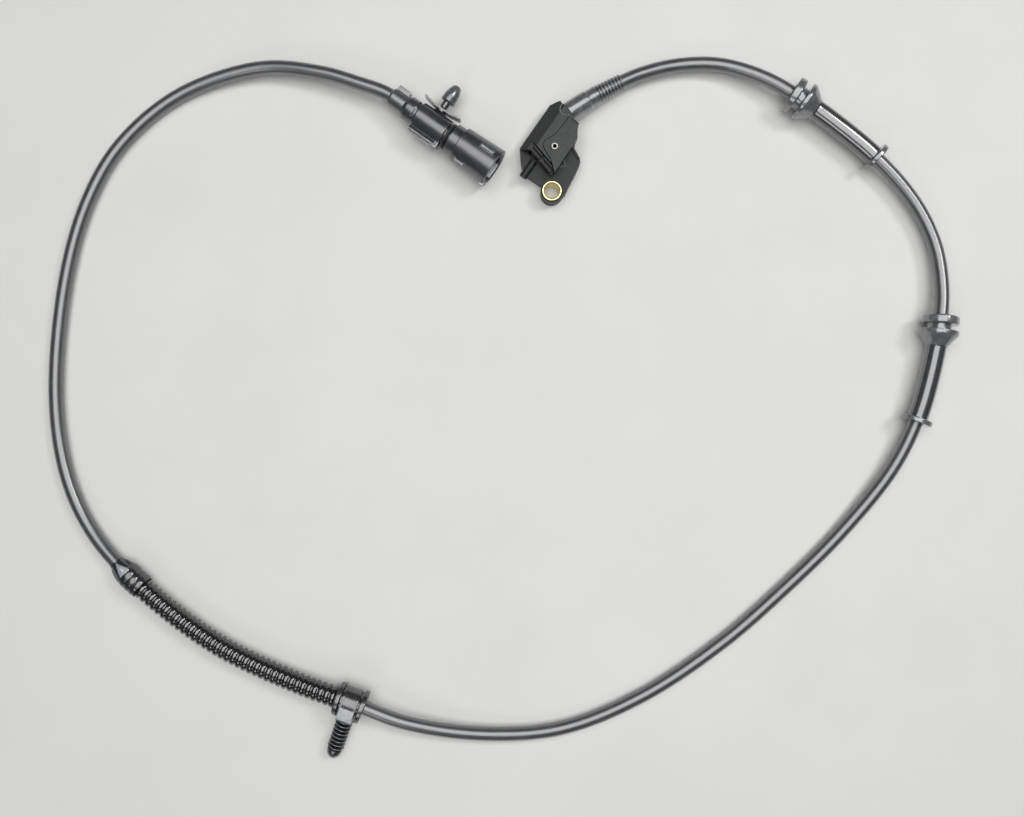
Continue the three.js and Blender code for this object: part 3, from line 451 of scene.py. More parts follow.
# Points of the cable's centre line, from inside the head to inside the connector
ROUTE_POINTS: tuple[Point, ...] = (
    (12.9, 7.05, 7.6),
    (20.1, 4.5, 7.6),
    (34.2, -1.8, 7.2),
    (48.9, -10, 6.1),
    (62.3, -21.7, 5.4),
    (72, -35.8, 5.9),
    (77.2, -52.5, 7.3),
    (78.7, -68.8, 8.2),
    (77.1, -112.7, 7.1),
    (71.1, -138.3, 5.9),
    (61.5, -155.4, 5.8),
    (48.3, -167.6, 6.9),
    (35.8, -174.9, 8.2),
    (13.8, -185.1, 7.6),
    (-5.1, -191.5, 7.1),
    (-28, -195.2, 5.9),
    (-62.8, -193.5, 3.7),
    (-97, -187.4, 3.15),
    (-131.3, -178.8, 3.1),
    (-169.8, -163.6, 3.1),
    (-200.7, -143.2, 3.15),
    (-222.1, -116.1, 4),
    (-236, -86.5, 6.5),
    (-241.8, -62.7, 7.5),
    (-249.4, -36.8, 5.3),
    (-255.3, -0.5, 4.9),
    (-253.2, 40.6, 5.5),
    (-247.5, 69, 3.4),
    (-234.7, 91.9, 3.1),
    (-209.5, 116.1, 3.1),
    (-164.7, 142.3, 3.1),
    (-131, 154, 3.1),
    (-103, 156.2, 3.15),
    (-71.1, 147.4, 3.7),
    (-42.2, 124.8, 5.9),
    (-29.3, 102, 7.9),
    (-23.6, 85, 8.6),
    (-20.6, 74, 8.8),
    (-20.4, 66, 8.8),
    (-20.4, 60, 8.8),
)
route = Route([Vector(point) * MM for point in ROUTE_POINTS])


def rounded(corners: Sequence[Corner], steps: int = 4, closed: bool = False) -> Profile:
    """Turns an outline's corners into arcs.

    Args:
        corners: The outline's corners, each with the length that its arc takes of each side.
        steps: How many sides an arc has.
        closed: Whether the last corner joins the first.

    Returns:
        The outline's points.
    """
    count = len(corners)
    outline: Profile = []
    for i, (x, y, size) in enumerate(corners):
        here = Vector((x, y))
        ends = not closed and i in (0, count - 1)
        if size == 0 or ends:
            outline.append((x, y))
            continue
        before = Vector(corners[i - 1][:2]) - here
        after = Vector(corners[(i + 1) % count][:2]) - here
        start = here + before.normalized() * min(size, before.length / 2)
        stop = here + after.normalized() * min(size, after.length / 2)
        for k in range(steps + 1):
            t = k / steps
            point = start * (1 - t) ** 2 + here * 2 * t * (1 - t) + stop * t * t
            outline.append((point.x, point.y))
    return outline


def divided(profile: Profile, longest: float) -> Profile:
    """Splits a profile's long sides so that it can be bent.

    Args:
        profile: Points of radius and distance along the axis.
        longest: The longest side that stays whole.

    Returns:
        The profile with more points.
    """
    result = [profile[0]]
    for (r0, z0), (r1, z1) in zip(profile, profile[1:]):
        parts = max(1, math.ceil(abs(z1 - z0) / longest))
        for k in range(1, parts):
            result.append((r0 + (r1 - r0) * k / parts, z0 + (z1 - z0) * k / parts))
        result.append((r1, z1))
    return result


def ring(outer: Profile, bore: float, longest: float = 1.5) -> Profile:
    """Closes an outer profile with a straight bore, for a sleeve.

    Args:
        outer: The outer points from one end to the other.
        bore: The bore's radius.
        longest: The longest side that stays whole, so that the sleeve can be bent.

    Returns:
        The closed profile.
    """
    closed = [*outer, (bore, outer[-1][1]), (bore, outer[0][1]), outer[0]]
    return divided(closed, longest)


def turned(profile: Profile, sides: int = 48) -> Shape:
    """Turns a profile round the Z axis.

    Args:
        profile: Points of radius and distance along the axis, which end on the axis or meet.
        sides: How many sides go round.

    Returns:
        The closed shape, in metres.
    """
    shape = bmesh.new()
    whole = profile[0] == profile[-1]
    points = [shape.verts.new((r * MM, 0, z * MM)) for r, z in (profile[:-1] if whole else profile)]
    pairs = list(zip(points, points[1:]))
    if whole:
        pairs.append((points[-1], points[0]))
    edges = [shape.edges.new(pair) for pair in pairs]
    bmesh.ops.spin(
        shape,
        geom=[*points, *edges],
        cent=(0, 0, 0),
        axis=(0, 0, 1),
        dvec=(0, 0, 0),
        angle=math.tau,
        steps=sides,
        use_merge=True,
    )
    bmesh.ops.remove_doubles(shape, verts=shape.verts, dist=WELD)
    bmesh.ops.recalc_face_normals(shape, faces=shape.faces)
    return shape


def block(size: Point, centre: Point, turn: float = 0.0) -> Shape:
    """Makes a box.

    Args:
        size: Its sides.
        centre: Its centre, before it is turned.
        turn: Degrees to turn it about the Z axis.

    Returns:
        The box, in metres.
    """
    shape = bmesh.new()
    bmesh.ops.create_cube(shape, size=1.0)
    bmesh.ops.scale(shape, vec=Vector(size) * MM, verts=shape.verts)
    bmesh.ops.translate(shape, vec=Vector(centre) * MM, verts=shape.verts)
    turning = Matrix.Rotation(math.radians(turn), 3, "Z")
    bmesh.ops.rotate(shape, cent=(0, 0, 0), matrix=turning, verts=shape.verts)
    return shape


def prism(outline: Profile, base: float, height: float) -> Shape:
    """Raises an outline straight up.

    Args:
        outline: The plan's corners in order.
        base: The height that it starts from.
        height: How tall it is.

    Returns:
        The closed shape, in metres.
    """
    shape = bmesh.new()
    floor = shape.faces.new([shape.verts.new((x * MM, y * MM, base * MM)) for x, y in outline])
    raised = bmesh.ops.extrude_face_region(shape, geom=[floor], use_keep_orig=True)["geom"]
    corners = [v for v in raised if isinstance(v, bmesh.types.BMVert)]
    bmesh.ops.translate(shape, vec=(0, 0, height * MM), verts=corners)
    bmesh.ops.recalc_face_normals(shape, faces=shape.faces)
    return shape


def wear_and_highlight_layer(shape: Shape) -> bmesh.types.BMLayerItem:
    """Gives the face layer that holds the share of the pale colour, for edge wear and painted highlight,
    made at its first use.
    """
    layers = shape.faces.layers.float
    return layers.get(ATTRIBUTE_WEAR_AND_HIGHLIGHT) or layers.new(ATTRIBUTE_WEAR_AND_HIGHLIGHT)


def softened(shape: Shape, width: float, sharp: float = 30.0, segments: int = 2) -> Shape:
    """Rounds a shape's sharp edges and marks the rounds for the finish's pale colour: edge wear and a
    painted edge highlight.

    Args:
        shape: The shape, which is changed.
        width: The round's width in millimetres.
        sharp: The least angle in degrees at which an edge counts as sharp.
        segments: How many steps each round has.

    Returns:
        The same shape.
    """
    mark = wear_and_highlight_layer(shape)
    limit = math.radians(sharp)
    edges = [e for e in shape.edges if len(e.link_faces) == 2 and e.calc_face_angle(0.0) > limit]
    rounds = bmesh.ops.bevel(
        shape,
        geom=edges,
        offset=width * MM,
        offset_type="OFFSET",
        segments=segments,
        profile=0.5,
        affect="EDGES",
        clamp_overlap=True,
        material=-1,
    )
    # The rounds take the pale colour as edge wear and painted edge highlight
    for face in rounds["faces"]:
        face[mark] = 1.0
    return shape


def with_painted_light(shape: Shape, share: float, reaches: Callable[[Vector], bool] | None = None) -> Shape:
    """Marks a shape's faces for the finish's pale colour, as painted light and painted highlight.

    Args:
        shape: The shape, which is changed.
        share: How strongly the painted light shows, up to 1.
        reaches: Tells from a face's middle, in metres, whether it takes the painted light. Without it
            all do.

    Returns:
        The same shape.
    """
    mark = wear_and_highlight_layer(shape)
    for face in shape.faces:
        if reaches is None or reaches(face.calc_center_median()):
            face[mark] = share
    return shape


def moved(shape: Shape, matrix: Matrix) -> Shape:
    """Moves and turns a shape by a matrix whose place is in metres."""
    bmesh.ops.transform(shape, matrix=matrix, verts=shape.verts)
    return shape


def gathered(shapes: Sequence[Shape]) -> Shape:
    """Puts several closed shapes into one.

    Args:
        shapes: The shapes, which are freed.

    Returns:
        The one shape.
    """
    whole = bmesh.new()
    for shape in shapes:
        part = bpy.data.meshes.new("part")
        shape.to_mesh(part)
        shape.free()
        whole.from_mesh(part)
        bpy.data.meshes.remove(part)
    return whole


def bent(shape: Shape, start: float) -> Shape:
    """Bends a shape that lies along Z on to the cable's route.

    Args:
        shape: The shape in metres, which is changed.
        start: The station in millimetres at which its z = 0 comes.

    Returns:
        The same shape.
    """
    known: dict[float, Station] = {}
    for vert in shape.verts:
        along = round(vert.co.z / MM, 4)
        if along not in known:
            known[along] = route.station(start + along)
        vert.co = known[along].place(vert.co)
    return shape


def seated(shape: Shape, distance: float) -> Shape:
    """Sets a stiff shape on the cable's route without bending it.

    Args:
        shape: The shape round the Z axis, which is changed.
        distance: The station in millimetres at which its z = 0 comes.

    Returns:
        The same shape.
    """
    spot = route.station(distance)
    matrix = Matrix((spot.side, spot.rise, spot.ahead)).transposed().to_4x4()
    matrix.translation = spot.centre
    return moved(shape, matrix)


def copied(node: str) -> Shape:
    """Copies a CAD node's shape, with its loose triangles joined and its flats made whole.

    Args:
        node: The node's name.

    Returns:
        The copy, in metres.
    """
    shape = bmesh.new()
    shape.from_mesh(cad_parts[node].data)
    bmesh.ops.remove_doubles(shape, verts=shape.verts, dist=CAD_WELD)
    flat = math.radians(1.0)
    bmesh.ops.dissolve_limit(shape, angle_limit=flat, verts=shape.verts, edges=shape.edges)
    return shape


def piece_of(
    name: str,
    shape: Shape,
    finish: MouldedFinish,
    node: str,
    slot: Slot,
    sharp: float = 38.0,
    flats: bool = False,
) -> Piece:
    """Makes the finished piece of a shape.

    Args:
        name: The piece's name.
        shape: The shape in metres, which is freed.
        finish: Its finish.
        node: The CAD node that it stands for.
        slot: The record's slot that it takes its finish from.
        sharp: The angle in degrees past which an edge stays sharp in the shading.
        flats: Whether large flats should shade flat beside their rounded edges.

    Returns:
        The piece, whose object is in the scene.
    """
    mesh = bpy.data.meshes.new(name)
    shape.to_mesh(mesh)
    shape.free()
    mesh.materials.append(material_of(finish))
    mesh.shade_smooth()
    mesh.set_sharp_from_angle(angle=math.radians(sharp))
    made = bpy.data.objects.new(name, mesh)
    bpy.context.scene.collection.objects.link(made)
    if flats:
        weighted = made.modifiers.new("flat_faces", "WEIGHTED_NORMAL")
        weighted.keep_sharp = True
    return Piece(made, (node,), slot)


@dataclass
class Cable:
    """The two-core cable's round jacket."""

    diameter: float = 6.0
    spacing: float = 2.0

    def build(self) -> list[Piece]:
        """Makes the jacket as one open curve along the route.

        Returns:
            The jacket alone.
        """
        line = bpy.data.curves.new("cable_jacket", "CURVE")
        line.dimensions = "3D"
        line.bevel_depth = self.diameter / 2 * MM
        line.bevel_resolution = 6
        line.use_fill_caps = True
        spline = line.splines.new("POLY")
        count = math.ceil(route.length / (self.spacing * MM))
        spline.points.add(count)
        for i, point in enumerate(spline.points):
            centre = route.station(route.length / MM * i / count).centre
            point.co = (*centre, 1.0)
        line.materials.append(material_of(JACKET))
        made = bpy.data.objects.new("cable_jacket", line)
        bpy.context.scene.collection.objects.link(made)
        return [Piece(made, ("cable",), Slot.CABLE)]


@dataclass
class StrainRelief:
    """The ribbed boot at the head: a thick root, a plain neck, then fine rings.

    Attributes:
        groove_ends: Where a groove's floor starts and stops, as shares of the pitch.
        crown: A rib's corners: the share of the pitch, the height over the crest, and the round.
        painted_highlight_span: Where a rib takes a painted highlight, as shares of the pitch.
    """

    start: float = 4.3
    root_diameter: float = 8.7
    root_length: float = 10.3
    neck_diameter: float = 8.0
    neck_length: float = 4.5
    tip_diameter: float = 7.1
    ribs: int = 8
    pitch: float = 1.5
    groove: float = 0.42
    groove_ends: tuple[float, float] = (0.08, 0.3)
    crown: tuple[Corner, ...] = ((0.42, -0.08, 0.12), (0.65, 0.04, 0.25), (0.88, -0.08, 0.12))
    painted_highlight_span: tuple[float, float] = (0.4, 0.9)
    # Share of the painted highlight on the root and the rib crests
    wear_and_highlight_share: float = 0.4
    bore: float = 6.12

    @property
    def rib_start(self) -> float:
        """Where the first rib's groove starts."""
        return self.root_length + self.neck_length

    def is_raised(self, middle: Vector) -> bool:
        """Tells whether a face's middle is before the ribs or on a rib's crest."""
        past = middle.z / MM - self.rib_start
        return past < 0 or self.painted_highlight_span[0] < (past / self.pitch) % 1.0 < self.painted_highlight_span[1]

    def build(self) -> list[Piece]:
        """Makes the boot as one turned shape bent along the cable.

        Returns:
            The boot alone.
        """
        root, neck, tip = self.root_diameter / 2, self.neck_diameter / 2, self.tip_diameter / 2
        corners: list[Corner] = [
            (root - 0.6, 0, 0),
            (root, 0.5, 0.3),
            (root, self.root_length - 0.2, 0.3),
            (neck, self.root_length + 0.2, 0.15),
            (neck, self.rib_start, 0.15),
        ]
        for i in range(self.ribs):
            crest = neck + (tip - neck) * (i + 1) / self.ribs
            start = self.rib_start + i * self.pitch
            corners += [(crest - self.groove, start + end * self.pitch, 0.1) for end in self.groove_ends]
            corners += [(crest + up, start + share * self.pitch, size) for share, up, size in self.crown]
        corners.append((tip - self.groove, self.rib_start + self.ribs * self.pitch, 0))
        shape = turned(ring(rounded(corners, 3), self.bore / 2))
        # The root and the rib crests take a painted highlight
        shape = bent(with_painted_light(shape, self.wear_and_highlight_share, self.is_raised), self.start)
        return [piece_of("strain_relief", shape, SLEEVE_RUBBER, "strain_relief_boot", Slot.GLOSS)]


@dataclass
class Grommet:
    """A rubber grommet on the cable: flange, neck, cone, long sleeve and end flange.

    Attributes:
        name: The CAD node that it stands for.
        start: The station in millimetres at which its flange starts.
        painted_highlight_reach: The share of the sleeve's radius beyond which it takes a painted
            highlight.
    """

    name: str
    start: float
    flange_diameter: float = 15.2
    flange_thickness: float = 3.3
    neck_diameter: float = 9.8
    neck_length: float = 2.5
    cone_diameter: float = 16.2
    cone_length: float = 7.0
    cone_rim: float = 1.7
    sleeve_diameter: float = 8.4
    sleeve_length: float = 31.6
    end_diameter: float = 13.2
    end_thickness: float = 2.0
    bore: float = 6.6
    painted_highlight_reach: float = 1.12
    # Share of the painted highlight on the flanges, neck and cone
    wear_and_highlight_share: float = 0.42

    def build(self) -> list[Piece]:
        """Makes the grommet as one turned shape bent along the cable.

        Returns:
            The grommet alone.
        """
        flange, sleeve = self.flange_diameter / 2, self.sleeve_diameter / 2
        neck, cone, end = self.neck_diameter / 2, self.cone_diameter / 2, self.end_diameter / 2
        cone_start = self.flange_thickness + self.neck_length
        sleeve_start = cone_start + self.cone_length
        end_start = sleeve_start + self.sleeve_length
        stop = end_start + self.end_thickness
        corners: list[Corner] = [
            (self.bore / 2 + 0.9, 0, 0.3),
            (self.bore / 2 + 1.1, 0.35, 0.2),
            (flange - 0.3, 0.1, 0.3),
            (flange, 0.6, 0.3),
            (flange, self.flange_thickness - 0.35, 0.3),
            (flange - 0.35, self.flange_thickness, 0.2),
            (neck, self.flange_thickness, 0.35),
            (neck, cone_start, 0.35),
            (cone, cone_start + 0.1, 0.3),
            (cone, cone_start + self.cone_rim, 0.4),
            (sleeve, sleeve_start, 0.5),
            (sleeve, end_start, 0.4),
            (end, end_start, 0.45),
            (end, stop, 0.45),
            (self.bore / 2 + 0.3, stop, 0),
        ]
        shape = turned(ring(rounded(corners, 4), self.bore / 2), 56)
        # Flanges, neck and cone take a painted highlight
        with_painted_light(shape, self.wear_and_highlight_share, lambda middle: middle.xy.length > self.painted_highlight_reach * sleeve * MM)
        name = f"{self.name}_rubber"
        return [piece_of(name, bent(shape, self.start), SLEEVE_RUBBER, self.name, Slot.GLOSS)]


@dataclass
class Conduit:
    """The corrugated conduit with its end collar, and the tape that closes its far end.

    Attributes:
        foot: The share of the pitch at which a convolution rises.
        crown: A convolution's corners: the share of the pitch, the height over the crest, the round.
        tape_sink: How far the tape sinks in between two convolutions.
        winding: How far the tape moves along in one turn.
        winding_step: The height of the step at a winding's edge.
        crease: The depth of the tape's fine creases.
        cable: The tape's bore where it closes on the cable.
        folds: Each fold's angle and half width in radians, and its share of the full height.
    """

    collar_start: float = 568.8
    collar_flange: float = 14.4
    collar_flange_thickness: float = 2.0
    collar_hub: float = 10.0
    collar_hub_length: float = 8.2
    bore: float = 6.6
    diameter: float = 9.2
    root_diameter: float = 7.8
    pitch: float = 2.7
    foot: float = 0.1
    crown: tuple[Corner, ...] = ((0.2, -0.1, 0.3), (0.5, 0.08, 0.7), (0.8, -0.1, 0.3))
    convolutions: int = 39
    gap: float = 0.3
    tape_thickness: float = 0.45
    tape_grip: float = 8.5
    tape_taper: float = 6.4
    tape_tail: float = 0.7
    tape_edge: float = 0.15
    tape_sink: float = 0.2
    winding: float = 7.0
    winding_step: float = 0.12
    crease: float = 0.1
    cable: float = 6.06
    folds: tuple[Point, ...] = ((1.8, 0.6, 0.8), (0.5, 0.4, 0.4), (3.0, 0.5, 0.5), (4.6, 0.6, 0.4))

    @property
    def start(self) -> float:
        """The station at which the conduit starts, behind its collar."""
        return self.collar_start + 2 * self.collar_flange_thickness + self.collar_hub_length + self.gap

    @property
    def length(self) -> float:
        """The conduit's length."""
        return self.convolutions * self.pitch

    def collar(self) -> Piece:
        """Makes the spool-shaped collar that the strap clip grips.

        Returns:
            The collar.
        """
        flange, hub = self.collar_flange / 2, self.collar_hub / 2
        first = self.collar_flange_thickness
        second = first + self.collar_hub_length
        stop = second + first
        corners: list[Corner] = [
            (self.bore / 2 + 0.3, 0, 0),
            (flange, 0, 0.5),
            (flange, first, 0.3),
            (hub, first, 0.2),
            (hub, second, 0.2),
            (flange, second, 0.3),
            (flange, stop, 0.5),
            (self.bore / 2 + 0.3, stop, 0),
        ]
        shape = bent(turned(ring(rounded(corners), self.bore / 2), 56), self.collar_start)
        return piece_of("collar_spool", shape, CLIP_NYLON, "conduit_end_collar", Slot.CLIP)

    def tube(self) -> Piece:
        """Makes the corrugated tube.

        Returns:
            The tube.
        """
        crest, root = self.diameter / 2, self.root_diameter / 2
        corners: list[Corner] = [(root, 0, 0)]
        for i in range(self.convolutions):
            start = i * self.pitch
            corners.append((root, start + self.foot * self.pitch, 0.15))
            corners += [(crest + up, start + share * self.pitch, size) for share, up, size in self.crown]
            corners.append((root, start + (1 - self.foot) * self.pitch, 0.15))
        corners.append((root, self.length, 0))
        shape = bent(turned(ring(rounded(corners, 3), self.bore / 2), 36), self.start)
        return piece_of("conduit_tube", shape, CONDUIT_NYLON, "conduit", Slot.CONDUIT, 50.0)

    def tape_radius(self, along: float, angle: float) -> float:
        """Gives the tape's outer radius, with the ribs beneath, its windings and its creases.

        Args:
            along: Distance from the tape's first edge.
            angle: Angle round the cable in radians.

        Returns:
            The radius.
        """
        grip = self.diameter / 2 + self.gap + self.tape_thickness
        cable = self.cable / 2 + self.tape_edge
        t = min(max((along - self.tape_grip) / self.tape_taper, 0.0), 1.0)
        radius = grip + (cable - grip) * t
        if along < self.tape_grip:
            phase = (along - self.tape_grip) / self.pitch
            radius -= self.tape_sink * (0.5 + 0.5 * math.cos(math.tau * phase)) ** 2
        turn = (along / self.winding - angle / math.tau) % 1.0
        radius += self.winding_step * (turn - 2 / 3) * (1.0 - t)
        crease = noise.noise(Vector((along * 0.35, 1.6 * math.cos(angle), 1.6 * math.sin(angle))))
        radius += self.crease * crease * (1.0 - t)
        for middle, spread, share in self.folds:
            width = spread * (1.05 - t)
            off = abs((angle - middle + math.pi) % math.tau - math.pi)
            if 0.0 < t < 1.0 and off < width:
                flat = min(1.0, 2.0 * (1.0 - off / width))
                radius += share * flat * (grip - cable) * t * (1.0 - t**3)
        return radius

    def is_fold_painted_highlight(self, middle: Vector) -> bool:
        """Tells whether a face lies on the tape's top fold, which takes a painted highlight.

        Args:
            middle: The face's middle in metres.

        Returns:
            Whether it does.
        """
        centre, spread, _ = self.folds[0]
        t = (middle.z / MM - self.tape_grip) / self.tape_taper
        off = abs(math.atan2(middle.y, middle.x) - centre)
        outside = middle.xy.length / MM > self.bore / 2 + self.tape_edge
        return outside and 0.0 < t < 0.95 and off < 0.8 * spread * (1.05 - t)

    def tape(self) -> Piece:
        """Makes the tape as a thin sleeve with uneven windings.

        Returns:
            The tape.
        """
        stop = self.tape_grip + self.tape_taper + self.tape_tail
        steps = 80
        grip = self.diameter / 2 + self.gap
        cable = self.cable / 2
        outer = [(grip + self.tape_thickness, stop * k / steps) for k in range(steps + 1)]
        inner = [
            (cable, stop),
            (cable, self.tape_grip + self.tape_taper),
            ((grip + cable) / 2, self.tape_grip + self.tape_taper / 2),
            (grip, self.tape_grip + self.gap),
            (grip, 0),
            outer[0],
        ]
        shape = turned([*outer, *divided(inner, 1.5)], 72)
        for vert in shape.verts:
            along = vert.co.z / MM
            radius = vert.co.xy.length / MM
            if radius > grip + self.tape_thickness / 2:
                angle = math.atan2(vert.co.y, vert.co.x)
                vert.co.xy *= self.tape_radius(along, angle) / radius
        # The top fold takes a painted highlight
        with_painted_light(shape, 1.0, self.is_fold_painted_highlight)
        bent(shape, self.start + self.length - self.tape_grip)
        return piece_of("tape_winding", shape, PVC_TAPE, "conduit_tape", Slot.TAPE, 60.0)

    def build(self) -> list[Piece]:
        """Makes the collar, the tube and the tape."""
        return [self.collar(), self.tube(), self.tape()]


@dataclass
class StrapClip:
    """The strap round the collar, its buckle and its finned stem with a blunt tip.

    Attributes:
        station: The station in millimetres at the middle of the strap.
        lip: The size of each lip where the strap's ends overlap.
        lip_turns: The lips' angles in degrees round the strap.
        painted_highlight_reach: The share of the fins' radius beyond which they take a painted
            highlight.
    """

    station: float = 574.9
    inner_radius: float = 5.3
    thickness: float = 1.3
    width: float = 7.0
    buckle_width: float = 6.8
    buckle_reach: float = 2.1
    buckle_top: float = 7.4
    buckle_top_start: float = 1.0
    buckle_top_drop: float = 1.3
    buckle_chamfer: float = 0.8
    buckle_depth: float = 4.0
    # Share of the painted highlight on the buckle's top
    buckle_painted_highlight: float = 0.75
    stem_diameter: float = 3.0
    droop: float = 0.16
    fin_diameter: float = 7.2
    fin_start: float = 1.0
    fins: int = 8
    fin_pitch: float = 1.8
    fin_thickness: float = 0.7
    fin_taper: float = 0.45
    # Share of the painted highlight on the fin rims
    fin_painted_highlight: float = 0.7
    painted_highlight_reach: float = 0.95
    tip_diameter: float = 6.4
    tip_length: float = 4.2
    lip: Point = (0.9, 5.2, 0.8)
    lip_turns: tuple[float, ...] = (70, 100)
    lip_inset: float = 0.5

    def strap(self) -> Shape:
        """Makes the closed strap with softened rims.

        Returns:
            The strap, round the Z axis.
        """
        inner, outer = self.inner_radius, self.inner_radius + self.thickness
        half = self.width / 2
        corners: list[Corner] = [
            (inner, -half, 0),
            (outer, -half, 0.35),
            (outer, half, 0.35),
            (inner, half, 0),
        ]
        profile = rounded(corners)
        return turned([*profile, profile[0]], 56)

    def buckle(self) -> Shape:
        """Makes the buckle, whose flat top slopes outwards from above the strap.

        Returns:
            The buckle, on the strap's +X side.
        """
        face = self.inner_radius + self.buckle_reach
        shelf = self.buckle_top - self.buckle_top_drop
        seat = self.inner_radius + self.thickness / 2
        start = math.asin(-self.buckle_depth / seat)
        stop = math.acos(self.buckle_top_start / seat)
        steps = 8
        arc = [start + (stop - start) * i / steps for i in range(steps + 1)]
        outline = [
            (self.buckle_top_start, self.buckle_top),
            (face - self.buckle_chamfer, shelf),
            (face, shelf - self.buckle_chamfer),
            (face, -self.buckle_depth),
            *((seat * math.cos(angle), seat * math.sin(angle)) for angle in arc),
        ]
        shape = prism(outline, -self.buckle_width / 2, self.buckle_width)
        # The buckle's top takes a painted highlight
        with_painted_light(shape, self.buckle_painted_highlight, lambda middle: middle.y > shelf * MM)
        return softened(shape, 0.35, 40.0, 3)

    def stem(self) -> Shape:
        """Makes the finned stem, which leans down to the ground.

        Returns:
            The stem, out from the buckle.
        """
        shaft, fin, tip = self.stem_diameter / 2, self.fin_diameter / 2, self.tip_diameter / 2
        corners: list[Corner] = [(0, -0.8, 0), (shaft, -0.8, 0)]
        for i in range(self.fins):
            start = self.fin_start + i * self.fin_pitch
            corners.append((shaft, start, 0.1))
            corners.append((fin, start + self.fin_taper, 0.15))
            corners.append((fin, start + self.fin_thickness, 0.15))
            corners.append((shaft, start + self.fin_thickness + self.fin_taper, 0.1))
        start = self.fin_start + self.fins * self.fin_pitch
        corners += [
            (shaft, start, 0.1),
            (tip, start, 0.3),
            (tip, start + 0.45 * self.tip_length, 1.2),
            (0.5 * tip, start + self.tip_length, 0.8),
            (0, start + self.tip_length, 0),
        ]
        shape = turned(rounded(corners, 3), 32)
        # The fin rims take a painted highlight
        with_painted_light(shape, self.fin_painted_highlight, lambda middle: middle.xy.length > self.painted_highlight_reach * fin * MM)
        root = self.inner_radius + self.buckle_reach - 0.6
        lean = Matrix.Rotation(-math.atan(self.droop), 4, "Z") @ Matrix.Rotation(math.pi / 2, 4, "Y")
        lean.translation = Vector((root, -self.droop * root, 0)) * MM
        return moved(shape, lean)

    def build(self) -> list[Piece]:
        """Makes the clip as one moulding.

        Returns:
            The clip alone.
        """
        lip_x = self.inner_radius + self.thickness + 0.1
        lip_z = self.width / 2 - self.lip_inset
        lips = [
            softened(block(self.lip, (lip_x, 0, side * lip_z), turn), 0.2)
            for side in (-1, 1)
            for turn in self.lip_turns
        ]
        shape = seated(gathered([self.strap(), self.buckle(), self.stem(), *lips]), self.station)
        return [piece_of("strap_clip", shape, CLIP_NYLON, "fir_tree_clip", Slot.CLIP, 45.0, flats=True)]


@dataclass(frozen=True)
class Bar:
    """A raised bar on a round surface, with its turn in degrees round the axis."""

    rise: float
    width: float
    length: float
    turn: float


